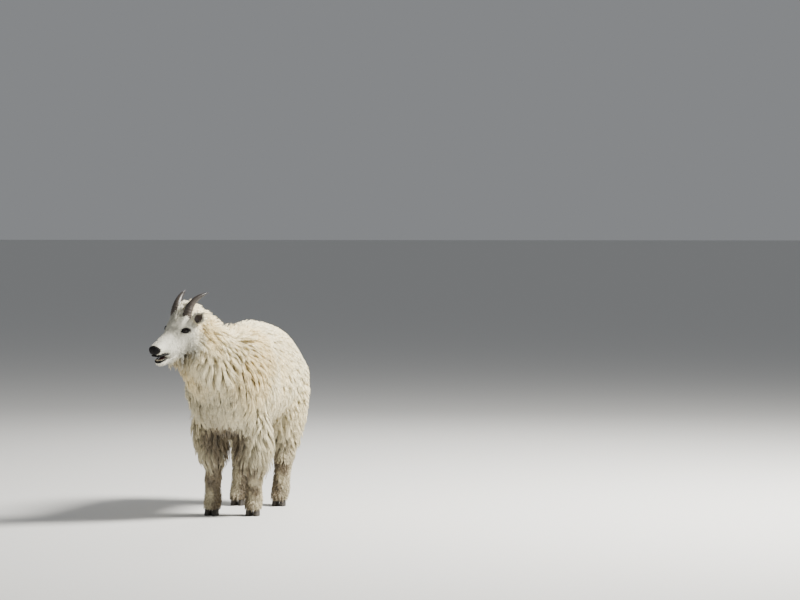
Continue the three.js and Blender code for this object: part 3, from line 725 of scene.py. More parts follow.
class Node:
    """A shader value: a socket, with the arithmetic that the finishes use."""

    def __init__(self, tree: bpy.types.NodeTree, socket: bpy.types.NodeSocket) -> None:
        """Keeps the socket and the tree that it is in."""
        self.tree, self.socket = tree, socket

    def math(self, operation: str, other: "Node | float | None" = None,
             swap: bool = False) -> "Node":
        """A Math node on this value and another.

        Args:
            operation: the node's operation.
            other: the second value.
            swap: whether the other comes first.

        Returns:
            The result.
        """
        node = self.tree.nodes.new("ShaderNodeMath")
        node.operation = operation
        pair = [self, other] if not swap else [other, self]
        for slot, value in zip(node.inputs, pair):
            if isinstance(value, Node):
                self.tree.links.new(value.socket, slot)
            elif value is not None:
                slot.default_value = value
        return Node(self.tree, node.outputs[0])

    def __add__(self, other: "Node | float") -> "Node":
        """The sum."""
        return self.math("ADD", other)

    __radd__ = __add__

    def __sub__(self, other: "Node | float") -> "Node":
        """The difference."""
        return self.math("SUBTRACT", other)

    def __rsub__(self, other: float) -> "Node":
        """The difference from a number."""
        return self.math("SUBTRACT", other, swap=True)

    def __mul__(self, other: "Node | float") -> "Node":
        """The product."""
        return self.math("MULTIPLY", other)

    __rmul__ = __mul__

    def __pow__(self, other: float) -> "Node":
        """The power."""
        return self.math("POWER", other)


class Finish:
    """A material under construction: its tree, its shader and the nodes it needs."""

    def __init__(self, name: str) -> None:
        """Makes the material, its tree and its object coordinates."""
        self.material = bpy.data.materials.new(name)
        self.material.use_nodes = True
        self.tree = self.material.node_tree
        self.shader = next(n for n in self.tree.nodes if n.type == "BSDF_PRINCIPLED")
        coords = self.tree.nodes.new("ShaderNodeTexCoord")
        self.object = Node(self.tree, coords.outputs["Object"])

    def node(self, kind: str, settings: dict | None = None, sockets: dict | None = None) -> Node:
        """A node of a kind, with settings, then values or links of its sockets.

        Args:
            kind: the node's type.
            settings: its properties.
            sockets: values of its inputs.

        Returns:
            Its first output.
        """
        made = self.tree.nodes.new(kind)
        for key, value in (settings or {}).items():
            setattr(made, key, value)
        for key, value in (sockets or {}).items():
            self.feed(made.inputs[key], value)
        return Node(self.tree, made.outputs[0])

    def feed(self, socket: bpy.types.NodeSocket, value: object) -> None:
        """Links a value to a socket, or sets a number or colour on it."""
        if isinstance(value, Node):
            self.tree.links.new(value.socket, socket)
        else:
            socket.default_value = value

    def noise(self, scale: float, detail: float = 3.0,
              stretch: Sequence[float] | None = None) -> Node:
        """Soft noise on object coordinates, stretched along the axes where asked.

        Args:
            scale: waves in a metre.
            detail: octaves.
            stretch: scale of the coordinates, by axis.

        Returns:
            The noise, 0 to 1.
        """
        where = self.object
        if stretch is not None:
            where = self.node("ShaderNodeMapping", None, {"Vector": where, "Scale": tuple(stretch)})
        return self.node(
            "ShaderNodeTexNoise", None, {"Vector": where, "Scale": scale, "Detail": detail}
        )

    def mix(self, share: Node | float, low: object, high: object) -> Node:
        """A blend of two colours, by a share.

        Args:
            share: how much of the second.
            low: the first.
            high: the second.

        Returns:
            The colour.
        """
        made = self.tree.nodes.new("ShaderNodeMix")
        made.data_type = "RGBA"
        self.feed(made.inputs[0], share)
        for slot, value in ((made.inputs[6], low), (made.inputs[7], high)):
            self.feed(slot, value if isinstance(value, Node) else (*value, 1.0))
        return Node(self.tree, made.outputs[2])

    def shades(self, share: Node | float, low: Rgb, high: Rgb) -> Node:
        """A blend of two colours that are given as they look on a screen."""
        return self.mix(share, tuple(linear(low)), tuple(linear(high)))

    def multiply(self, colour: Node, share: Node | float) -> Node:
        """A colour darkened towards black as share goes to 0."""
        return self.mix(share, (0.0, 0.0, 0.0), colour)

    def attribute(self, name: str, colour: bool = False) -> Node:
        """The piece's own attribute, as a colour or a number.

        Args:
            name: the attribute's name.
            colour: whether it is a colour.

        Returns:
            Its value.
        """
        made = self.tree.nodes.new("ShaderNodeAttribute")
        made.attribute_name = name
        return Node(self.tree, made.outputs["Color" if colour else "Fac"])

    def bump(self, height: Node, distance: float, strength: float = 1.0) -> None:
        """Feeds a height, its distance in metres, to the shader's normal by a Bump node."""
        bump = self.node(
            "ShaderNodeBump", None, {"Height": height, "Distance": distance, "Strength": strength}
        )
        self.feed(self.shader.inputs["Normal"], bump)

    def set(self, **sockets: object) -> Material:
        """Sets or feeds the shader's sockets, _ for a blank, and returns the material."""
        for key, value in sockets.items():
            self.feed(self.shader.inputs[key.replace("_", " ")], value)
        return self.material


@dataclass(frozen=True)
class CoatTufts:
    """Coat tufts: the place's colour, darkened at the root with painted shade, varied from tuft to
    tuft.
    """

    root_shade: float = 0.48
    least_tint: float = 0.86
    tint_range: float = 0.2

    def material(self) -> Material:
        """Makes the material. The painted shade's value is the root's, plus the rest times
        along^0.75.
        """
        f = Finish("coat_tufts")
        shade = self.root_shade + f.attribute("along") ** 0.75 * (1 - self.root_shade)
        value = shade * (self.least_tint + f.attribute("tint") * self.tint_range)
        colour = f.multiply(f.attribute("coat", True), value)
        return f.set(Base_Color=colour, Roughness=0.7, Sheen_Weight=0.2, Sheen_Roughness=0.4)


@dataclass(frozen=True)
class ShortFur:
    """Skin and the short fur on it: the coat's colour with a fine streaky bump."""

    bare: Rgb = (20, 17, 17)
    shade_under_wool: float = 0.5
    roughness: float = 0.85

    def material(self) -> Material:
        """Makes the material: painted shade darkens it under the long coat, in the gaps between
        tufts, and it is black where it is bare.
        """
        f = Finish("short_fur")
        fine = f.noise(420, 4, (1, 0.35, 1))
        broad = f.noise(60, 3)
        bare = f.attribute("bare")
        # Painted shade: the skin under the long coat is darkened, so the gaps between tufts look
        # shaded
        shade = self.shade_under_wool + f.attribute("short") * 0.42
        colour = f.multiply(f.attribute("coat", True), shade + broad * 0.12)
        colour = f.mix(bare, colour, tuple(linear(self.bare)))
        f.bump(fine + broad * 0.5, 0.002, 0.7)
        return f.set(Base_Color=colour, Roughness=self.roughness - bare * 0.35)


@dataclass(frozen=True)
class BlackSkin:
    """Black nose, lip and lid skin: pebbled and slightly moist."""

    dark: Rgb = (7, 6, 7)
    light: Rgb = (24, 21, 22)

    def material(self) -> Material:
        """Makes the material, its pebbles from a cell pattern."""
        f = Finish("black_skin")
        cells = f.node(
            "ShaderNodeTexVoronoi", {"feature": "F1"}, {"Vector": f.object, "Scale": 520.0}
        )
        broad = f.noise(90, 3)
        f.bump(cells, 0.0012, 0.5)
        return f.set(
            Base_Color=f.shades(broad, self.dark, self.light),
            Roughness=0.5 + broad * 0.2, Specular_IOR_Level=0.2,
        )


@dataclass(frozen=True)
class HornSheath:
    """Horn: grey-brown and dull at the base, black and polished to the tip."""

    dark: Rgb = (62, 54, 48)
    light: Rgb = (104, 94, 84)
    tip: Rgb = (26, 23, 22)

    def material(self) -> Material:
        """Makes the material, blended to the tip's colour by along^0.8."""
        f = Finish("horn_sheath")
        along = f.attribute("along")
        streak = f.noise(120, 4, (1, 1, 0.25))
        low = f.shades(streak, self.dark, self.light)
        colour = f.mix(along ** 0.8, low, tuple(linear(self.tip)))
        f.bump(streak, 0.0012, 0.6)
        return f.set(Base_Color=colour, Roughness=0.55 - along * 0.25)


@dataclass(frozen=True)
class HoofHorn:
    """Hoof horn: near black, scuffed grey in streaks."""

    dark: Rgb = (24, 22, 21)
    scuffed: Rgb = (104, 95, 84)

    def material(self) -> Material:
        """Makes the material, scuffed by the square of a streaky noise."""
        f = Finish("hoof_horn")
        scuff = f.noise(70, 4, (1, 1, 0.3))
        colour = f.shades(scuff ** 2, self.dark, self.scuffed)
        f.bump(scuff, 0.0015, 0.6)
        return f.set(Base_Color=colour, Roughness=0.5 + scuff * 0.2)


@dataclass(frozen=True)
class TongueFlesh:
    """Tongue: dusky pink, darkened with painted shade as it lies inside the mouth; finely rough and
    moist.
    """

    dark: Rgb = (64, 42, 42)
    light: Rgb = (92, 62, 60)

    def material(self) -> Material:
        """Makes the material."""
        f = Finish("tongue_flesh")
        fine = f.noise(600, 3)
        f.bump(fine, 0.0008, 0.5)
        colour = f.shades(fine, self.dark, self.light)
        return f.set(Base_Color=colour, Roughness=0.35 + fine * 0.15)


@dataclass(frozen=True)
class ToothEnamel:
    """Teeth: ivory, stained in places."""

    ivory: Rgb = (222, 212, 184)
    stained: Rgb = (176, 152, 112)

    def material(self) -> Material:
        """Makes the material."""
        f = Finish("teeth_enamel")
        stain = f.noise(150, 3)
        colour = f.shades(stain, self.ivory, self.stained)
        return f.set(Base_Color=colour, Roughness=0.3 + stain * 0.1)


@dataclass(frozen=True)
class EyeGlobe:
    """Eye: dark amber iris with a level slot of a pupil, under a thin clear coat."""

    dark: Rgb = (16, 10, 7)
    light: Rgb = (38, 25, 14)
    pupil: Rgb = (6, 5, 5)

    def material(self) -> Material:
        """Makes the material, its iris where the piece's own attribute says."""
        f = Finish("eye_globe")
        fibre = f.noise(500, 4)
        amber = f.shades(fibre, self.dark, self.light)
        colour = f.mix(f.attribute("iris"), tuple(linear(self.pupil)), amber)
        return f.set(
            Base_Color=colour, Roughness=0.07 + fibre * 0.03, Specular_IOR_Level=0.12,
            Coat_Weight=0.14, Coat_Roughness=0.02,
        )


@dataclass(frozen=True)
class EarSkin:
    """Ear: dusky skin within, cream fur without, by the piece's own attribute."""

    inner_dark: Rgb = (26, 20, 18)
    inner_light: Rgb = (62, 49, 43)
    outer_dark: Rgb = (204, 198, 180)
    outer_light: Rgb = (236, 231, 214)

    def material(self) -> Material:
        """Makes the material."""
        f = Finish("ear_skin")
        inside = f.attribute("inside")
        fine = f.noise(260, 3)
        dark = f.shades(fine, self.inner_dark, self.inner_light)
        pale = f.shades(fine, self.outer_dark, self.outer_light)
        f.bump(fine, 0.0015, 0.6)
        return f.set(Base_Color=f.mix(inside, pale, dark), Roughness=0.8 - inside * 0.2)


@dataclass(frozen=True)
class StudioFloor:
    """Plain pale floor."""

    dark: Rgb = (214, 214, 212)
    light: Rgb = (220, 220, 218)

    def material(self) -> Material:
        """Makes the material."""
        f = Finish("studio_floor")
        return f.set(Base_Color=f.shades(f.noise(30, 2), self.dark, self.light), Roughness=0.85)


def colour_layer(mesh: bpy.types.Mesh, name: str, rgb: Array) -> None:
    """Stores a colour for each vertex."""
    layer = mesh.color_attributes.new(name, "FLOAT_COLOR", "POINT")
    layer.data.foreach_set("color", np.column_stack([rgb, np.ones(len(rgb))]).ravel())


def number_layer(mesh: bpy.types.Mesh, name: str, values: Array) -> None:
    """Stores a number for each vertex."""
    layer = mesh.attributes.new(name, "FLOAT", "POINT")
    layer.data.foreach_set("value", np.asarray(values, np.float32))


def vectors(rows: bpy.types.bpy_prop_collection, key: str) -> Array:
    """The vectors that a mesh keeps under a key, such as its vertices' places, one a row.

    Args:
        rows: the mesh's vertices or normals.
        key: co or vector.

    Returns:
        The vectors.
    """
    read = np.empty(len(rows) * 3)
    rows.foreach_get(key, read)
    return read.reshape(-1, 3)


def triangles_of(mesh: bpy.types.Mesh) -> Array:
    """The vertex numbers of a mesh's triangles, one triangle a row.

    Args:
        mesh: the mesh.

    Returns:
        Triples of vertex numbers.
    """
    mesh.calc_loop_triangles()
    tris = np.empty(len(mesh.loop_triangles) * 3, dtype=np.int32)
    mesh.loop_triangles.foreach_get("vertices", tris)
    return tris.reshape(-1, 3)


def eye_oval(q: Array) -> Array:
    """The almond of the eye, 1 at its edge: (y / 20)² + (z / 12)², tilted, in millimetres."""
    y, z = q[:, 1] + 1.0, q[:, 2] - 4.0
    return ((y * 0.97 - z * 0.24) / 20) ** 2 + ((y * 0.24 + z * 0.97) / 12) ** 2


def nose_oval(q: Array) -> Array:
    """The nose pad's oval, 1 at its edge, in millimetres of the head's own frame."""
    return (q[..., 0] / 40) ** 2 + ((q[..., 1] + 176) / 30) ** 2 + ((q[..., 2] + 31) / 21) ** 2


def mouth_band(q: Array) -> Array:
    """The black band of the mouth, 1 at its edge: |z + 69| / (5 + 11 * step to the front)."""
    half = 5 + 11 * smoothstep(-q[:, 1], 112, 140)
    return np.abs(q[:, 2] + 69) / half + 8 * smoothstep(q[:, 1], -112, -96)


@dataclass
class Skin:
    """The goat's one skin, under the coat: all forms fused, then smoothed."""

    body: Body
    voxel: float = 3.4
    socket: float = 11.0
    behind_nose: float = 13.0
    most_triangles: int = 190000
    fine: tuple[str, ...] = ("trunk", "neck", "skull")
    nodes: tuple[str, ...] = (
        "shoulders", "barrel", "rump", "neck", "tail", "head", "jaw",
        *(f"leg_{leg}_{half}" for leg in LEGS for half in ("upper", "lower")),
    )

    def inset(self, name: str, form: Form) -> Callable[[Array], Array]:
        """How deep the skin lies: the coat's depth, and no less than flat fur's."""
        least = {"skull": 1.6, "jaw": 1.6}.get(name, 5.0 if "_" in name else 8.0)
        return lambda t: np.maximum(form.coat(t), least * MM)

    def build(self) -> Piece:
        """Makes the skin: the forms' surfaces, voxel remeshed, smoothed and thinned.

        Returns:
            The skin.
        """
        verts, faces = merged([
            form.grid(*((90, 64) if name in self.fine else (70, 40)), self.inset(name, form))
            for name, form in self.body.forms.items()
        ])
        raw = mesh_object("skin", self.body.to_frame(verts), faces)
        raw.data.flip_normals()
        remesh = raw.modifiers.new("fuse", "REMESH")
        remesh.mode, remesh.voxel_size = "VOXEL", self.voxel * MM
        soften = raw.modifiers.new("soften", "SMOOTH")
        soften.factor, soften.iterations = 0.5, 6
        triangles = triangle_count(bake_modifiers(raw))
        if triangles > self.most_triangles:
            thin = raw.modifiers.new("thin", "DECIMATE")
            thin.ratio = self.most_triangles / triangles
            bake_modifiers(raw)
        mesh = raw.data
        mesh.name = "skin"
        mesh.vertices.foreach_set("co", self.carve(vectors(mesh.vertices, "co")).ravel())
        mesh.update()
        mesh.polygons.foreach_set("use_smooth", np.ones(len(mesh.polygons), bool))
        return outward(raw)

    def carve(self, points: Array) -> Array:
        """Sinks the eye sockets sideways, and the muzzle's end behind the nose pad.

        Both are soft steps of an oval's own equation, times a depth.

        Args:
            points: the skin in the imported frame.

        Returns:
            The same points, sunk.
        """
        q = apply(np.linalg.inv(self.body.head), points - self.body.place) / MM
        near = np.linalg.norm(q, axis=1) < 240
        socket = self.socket * smoothstep(1 - eye_oval(q), 0.0, 0.45) * near
        q[:, 0] -= np.sign(q[:, 0]) * socket
        q[:, 1] += self.behind_nose * smoothstep(1.0 - nose_oval(q), 0.0, 0.3) * near
        return self.body.to_frame(apply(self.body.head, q * MM))

    def dress(self, piece: Piece, coat: "Coat", finish: Material) -> None:
        """Stores the coat's colour, where it is short and where the skin is bare and black.

        Short is a soft step of the coat's length, and bare the sum of soft steps of the
        ovals of eye and nose and of the mouth's band.

        Args:
            piece: the skin.
            coat: the coat, which says where it is short.
            finish: the material.
        """
        mesh = piece.data
        points = vectors(mesh.vertices, "co") - self.body.place
        normals = vectors(mesh.vertex_normals, "vector")
        colour_layer(mesh, "coat", coat.palette.coat(points, normals, self.body))
        length = coat.style(points)[1][:, VALUES.index("length")]
        number_layer(mesh, "short", 1 - smoothstep(length, 16, 36))
        q = apply(np.linalg.inv(self.body.head), points) / MM
        rim = (1 - smoothstep(eye_oval(q), 1.1, 1.6)) * (np.abs(q[:, 0]) > 30)
        nose = 1 - smoothstep(nose_oval(q), 0.9, 1.06)
        mouth = 1 - smoothstep(mouth_band(q), 0.9, 1.15)
        near = np.linalg.norm(q, axis=1) < 240
        number_layer(mesh, "bare", np.clip(rim + nose + mouth, 0, 1) * near)
        mesh.materials.clear()
        mesh.materials.append(finish)


@dataclass(frozen=True)
class Swatch:
    """A sample of the coat at one place: how its tufts lie and how they look there.

    The place and the lie are for the left side and are mirrored for the right. Lengths are
    millimetres. spacing is the distance between clumps, bundle a clump's radius at its root,
    gather how far its tufts come together (0 to 1), loft the height of the tips above the
    coat's surface, and hang how freely they hang from it (0 to 1).
    """

    place: tuple[float, float, float]
    lie: tuple[float, float, float]
    length: float
    loft: float = 3.0
    hang: float = 0.0
    gather: float = 0.7
    curl: float = 4.0
    width: float = 1.9
    bundle: float = 10.0
    spacing: float = 20.0


@dataclass
class SwatchBook:
    """Swatches blended by distance: each weighs 1 / (distance² + near²)²."""

    swatches: Sequence[Swatch]
    near: float = 30.0

    def read(self, places: Array) -> tuple[Array, Array]:
        """The lies and the other values at places.

        Args:
            places: places in millimetres, with x measured from the middle of the form.

        Returns:
            Lies, unscaled, and the values in the order of VALUES.
        """
        side = places[:, 0] / np.sqrt(places[:, 0] ** 2 + 15.0 ** 2)
        folded = np.column_stack([np.abs(places[:, 0]), places[:, 1:]])
        at = np.array([s.place for s in self.swatches], float)
        lies = unit(np.array([s.lie for s in self.swatches], float))
        values = np.array([[getattr(s, key) for key in VALUES] for s in self.swatches], float)
        apart = ((folded[:, None] - at[None]) ** 2).sum(-1)
        weight = 1 / (apart + self.near ** 2) ** 2
        weight /= weight.sum(1, keepdims=True)
        lie = weight @ lies
        lie[:, 0] *= side
        return lie, weight @ values


VALUES = ("length", "loft", "hang", "gather", "curl", "width", "bundle", "spacing")
BODY_COAT = SwatchBook((
    # Along the top: nape, withers, back, loin and rump
    Swatch((0, -560, 990), (0, 0.9, -0.1), 50, 3, gather=0.5, spacing=17),
    Swatch((0, -430, 930), (0, 0.9, -0.45), 56, 5, gather=0.5, spacing=18),
    Swatch((0, -345, 905), (0, 1, -0.1), 70, 17, gather=0.45, spacing=17),
    Swatch((0, -260, 905), (0, 1, 0.0), 56, 4, gather=0.45, spacing=18),
    Swatch((0, -150, 925), (0, 1, -0.15), 52, 2, gather=0.45, spacing=18),
    Swatch((0, 60, 927), (0, 1, -0.1), 56, 5, gather=0.55),
    Swatch((0, 280, 892), (0, 1, -0.25), 50, 4, gather=0.5),
    Swatch((0, 440, 840), (0, 0.8, -0.6), 50, 4, gather=0.5),
    Swatch((0, 512, 690), (0, 0.1, -1), 60, 4, gather=0.6),
    # Flank, haunch and belly
    Swatch((150, -20, 880), (0.35, 0.75, -0.5), 50, 3, gather=0.25, curl=3, spacing=18),
    Swatch((195, -140, 770), (0.08, 0.4, -0.9), 80, 11, gather=0.55, curl=6, spacing=18),
    Swatch((195, -40, 760), (0.1, 0.55, -0.8), 42, 1, gather=0.25, curl=3, spacing=17),
    Swatch((195, 60, 740), (0.1, 0.6, -0.75), 44, 2, gather=0.2, curl=3, spacing=17),
    Swatch((195, 60, 600), (0.05, 0.45, -0.88), 48, 2, gather=0.25, curl=3, spacing=17),
    Swatch((170, 60, 480), (0.05, 0.35, -0.93), 80, 4, 0.1, gather=0.65),
    Swatch((50, 60, 420), (0.03, 0.2, -1), 95, 6, 0.8, gather=0.75),
    Swatch((160, 330, 820), (0.2, 0.6, -0.75), 40, 2, gather=0.2, curl=2.5, spacing=16),
    Swatch((200, 330, 700), (0.05, 0.45, -0.88), 40, 2, gather=0.2, curl=2.5, spacing=16),
    Swatch((195, 400, 600), (0.03, 0.25, -0.96), 48, 2, gather=0.3, curl=3, spacing=17),
    Swatch((110, 480, 620), (0.05, 0.1, -1), 64, 4, 0.1, gather=0.6),
    Swatch((60, 380, 480), (0, 0.1, -1), 70, 4, 0.3, gather=0.65),
    # Shoulder, chest and bib
    Swatch((110, -230, 890), (0.3, 0.6, -0.75), 70, 5, gather=0.5, curl=5, spacing=18),
    Swatch((190, -260, 760), (0.1, 0.3, -0.95), 84, 6, gather=0.58, curl=6, spacing=18),
    Swatch((200, -230, 600), (0.05, 0.15, -0.98), 104, 7, 0.05, gather=0.68, curl=6),
    Swatch((170, -330, 470), (0.02, 0.0, -1), 104, 8, 0.25, gather=0.74, curl=5),
    Swatch((150, -410, 640), (0.02, -0.02, -1), 100, 8, 0.1, gather=0.66, curl=6),
    Swatch((70, -460, 560), (-0.05, -0.1, -1), 108, 8, 0.25, gather=0.72, curl=6),
    Swatch((60, -420, 450), (0, -0.05, -1), 66, 5, 0.5, gather=0.76, curl=5),
    Swatch((40, -250, 410), (0, 0.15, -1), 80, 6, 0.8, gather=0.75),
    # Neck
    Swatch((90, -560, 900), (0.12, 0.5, -0.85), 56, 4, gather=0.45, curl=5, bundle=9, spacing=16),
    Swatch((120, -480, 820), (0.08, 0.22, -0.97), 72, 5, gather=0.55, curl=6, bundle=9, spacing=17),
    Swatch((140, -420, 740), (0.04, 0.1, -1), 88, 6, gather=0.6, curl=6, spacing=18),
    Swatch((30, -620, 840), (0.0, 0.1, -1), 86, 7, 0.3, gather=0.6, curl=5, spacing=17),
    Swatch((40, -580, 720), (-0.03, 0.0, -1), 98, 8, 0.25, gather=0.66, curl=6, spacing=18),
    # Forelegs: long above, like breeches, and short below the knee
    Swatch((180, -240, 430), (0.07, 0.1, -1), 130, 7, 0.1, gather=0.82, curl=5),
    Swatch((180, -180, 340), (0.06, 0.12, -1), 125, 7, 0.15, gather=0.82, curl=5),
    Swatch((160, -320, 330), (0.05, 0.03, -1), 105, 6, 0.15, gather=0.8, curl=5),
    Swatch((30, -240, 340), (-0.03, 0.05, -1), 90, 5, 0.15, gather=0.75),
    Swatch((120, -240, 250), (0.05, 0.05, -1), 84, 5, 0.2, gather=0.8),
    Swatch((100, -235, 178), (0, 0.02, -1), 30, 1, 0, 0.5, 1.5, 1.3, 5, 9.5),
    Swatch((100, -235, 110), (0, 0.02, -1), 18, 0.5, 0, 0.4, 1, 1.1, 4, 8.5),
    Swatch((100, -238, 55), (0, -0.1, -1), 30, 2, 0.3, 0.5, 1.5, 1.1, 4, 8),
    # Hind legs
    Swatch((150, 330, 470), (0.04, 0.2, -1), 82, 5, 0.1, gather=0.75),
    Swatch((110, 440, 420), (0.02, 0.15, -1), 84, 6, 0.25, gather=0.78),
    Swatch((30, 350, 420), (0, 0.1, -1), 70, 4, 0.2, gather=0.7),
    Swatch((110, 380, 320), (0.02, 0.12, -1), 80, 6, 0.25, gather=0.78),
    Swatch((100, 280, 320), (0.02, 0.1, -1), 62, 3, 0.1, gather=0.7),
    Swatch((94, 322, 240), (0, 0.05, -1), 34, 1, 0, 0.5, 1.5, 1.3, 5, 10),
    Swatch((92, 295, 170), (0, 0, -1), 19, 0.5, 0, 0.4, 1, 1.1, 4, 8.5),
    Swatch((90, 262, 55), (0, -0.1, -1), 30, 2, 0.3, 0.5, 1.5, 1.1, 4, 8),
    # Tail
    Swatch((0, 520, 790), (0, 0.5, -0.8), 60, 4, 0.2, 0.6, 3, 1.7, 7, 13),
    Swatch((0, 535, 715), (0, 0.05, -1), 75, 5, 0.5, 0.7, 3, 1.7, 7, 13),
))
HEAD_COAT = SwatchBook((
    Swatch((0, -125, 4), (0, 1, 0.1), 7, 0.4, 0, 0.3, 0.4, 0.75, 2.4, 5.5),
    Swatch((36, -135, -35), (0.1, 1, -0.1), 7, 0.4, 0, 0.3, 0.4, 0.75, 2.4, 5.5),
    Swatch((0, -70, 18), (0, 1, 0.2), 9, 0.5, 0, 0.3, 0.5, 0.8, 2.6, 6),
    Swatch((44, -75, -40), (0.1, 1, -0.2), 9, 0.5, 0, 0.3, 0.5, 0.8, 2.6, 6),
    Swatch((36, -70, -85), (0.1, 1, -0.3), 10, 0.6, 0, 0.3, 0.6, 0.85, 2.6, 6),
    Swatch((25, -140, -95), (0.1, 1, -0.3), 10, 0.6, 0, 0.3, 0.6, 0.85, 2.6, 6),
    Swatch((0, -20, 50), (0, 0.9, 0.45), 11, 0.8, 0, 0.35, 0.7, 0.9, 3, 6.5),
    Swatch((30, -20, 45), (0.1, 0.9, 0.4), 11, 0.8, 0, 0.35, 0.7, 0.9, 3, 6.5),
    Swatch((52, -5, 34), (0.2, 1, 0.2), 10, 0.8, 0, 0.35, 0.6, 0.85, 3, 6.5),
    Swatch((60, 30, 30), (0.2, 1, 0.0), 12, 0.8, 0, 0.35, 0.6, 0.85, 3, 6.5),
    Swatch((56, -20, -40), (0.1, 1, -0.3), 10, 0.6, 0, 0.35, 0.6, 0.85, 3, 6.5),
    Swatch((56, -20, -85), (0.1, 1, -0.4), 13, 0.8, 0, 0.4, 0.8, 0.9, 3.2, 7),
    Swatch((62, 22, -10), (0.1, 1, -0.2), 12, 0.6, 0, 0.35, 0.6, 0.85, 3, 6.5),
    Swatch((66, 26, -50), (0.1, 0.9, -0.4), 16, 0.8, 0, 0.45, 1, 1.0, 3.6, 7.5),
    Swatch((62, 30, -95), (0.1, 0.6, -0.8), 40, 3, 0.3, 0.6, 2, 1.3, 6, 11),
    Swatch((66, 60, -50), (0.1, 0.9, -0.6), 42, 4, 0.1, 0.6, 3, 1.5, 7, 13),
    Swatch((60, 58, 20), (0.2, 1, 0.1), 13, 1, 0, 0.4, 1, 1.0, 3.4, 7),
    Swatch((56, 70, 30), (0.2, 1, 0.1), 13, 1, 0, 0.4, 1, 1.0, 3.4, 7),
    Swatch((64, 75, 0), (0.2, 1, -0.2), 14, 1, 0, 0.4, 1, 1.0, 3.4, 7),
    Swatch((80, 80, -5), (0.2, 1, -0.3), 16, 1, 0, 0.4, 1, 1.0, 3.6, 7.5),
    Swatch((78, 92, 24), (0.2, 1, -0.1), 20, 2, 0, 0.4, 1, 1.1, 4, 8),
    Swatch((50, 88, 56), (0.25, 1, 0.1), 36, 8, 0, 0.4, 3, 1.5, 7, 10),
    Swatch((52, 20, 45), (0.1, 1, 0.2), 10, 1, 0, 0.35, 0.7, 0.9, 3, 6.5),
    Swatch((30, 14, 60), (0.1, 0.9, 0.5), 14, 5, 0, 0.3, 1.2, 1.1, 4, 6.5),
    Swatch((40, 20, 58), (0.1, 0.9, 0.4), 12, 3, 0, 0.3, 1, 1.0, 4, 6.5),
    Swatch((0, 4, 56), (0, 0.8, 0.7), 22, 10, 0, 0.3, 1.6, 1.3, 5, 6.5),
    Swatch((0, 26, 68), (0, 0.8, 0.7), 32, 16, 0, 0.25, 2.5, 1.5, 6, 7.5),
    Swatch((0, 50, 82), (0, 0.8, 0.7), 42, 20, 0, 0.3, 3, 1.6, 7, 8.5),
    Swatch((24, 62, 80), (0.1, 0.8, 0.6), 42, 18, 0, 0.35, 3.5, 1.6, 7, 9.5),
    Swatch((0, 88, 80), (0, 0.95, 0.4), 50, 17, 0, 0.4, 4, 1.7, 8, 11),
    Swatch((0, -104, -104), (0, 0.8, -0.5), 14, 1, 0.2, 0.4, 1, 0.9, 3, 7),
    Swatch((0, -76, -112), (0, 0.05, -1), 78, 5, 1, 0.5, 4, 1.4, 6, 8),
    Swatch((18, -45, -114), (0, 0.05, -1), 88, 6, 1, 0.55, 5, 1.5, 7, 10),
    Swatch((20, -15, -118), (0, 0.1, -1), 90, 6, 1, 0.6, 5, 1.6, 8, 12),
    Swatch((20, 30, -118), (0, 0.25, -1), 88, 6, 0.9, 0.75, 5, 1.7, 8, 14),
    Swatch((30, 80, -90), (0, 0.25, -1), 88, 6, 0.7, 0.75, 5, 1.8, 9, 16),
), 10.0)
NECK_MIDDLE = ((-600, -140), (-520, -100), (-450, -58), (-364, -22), (-270, 0))


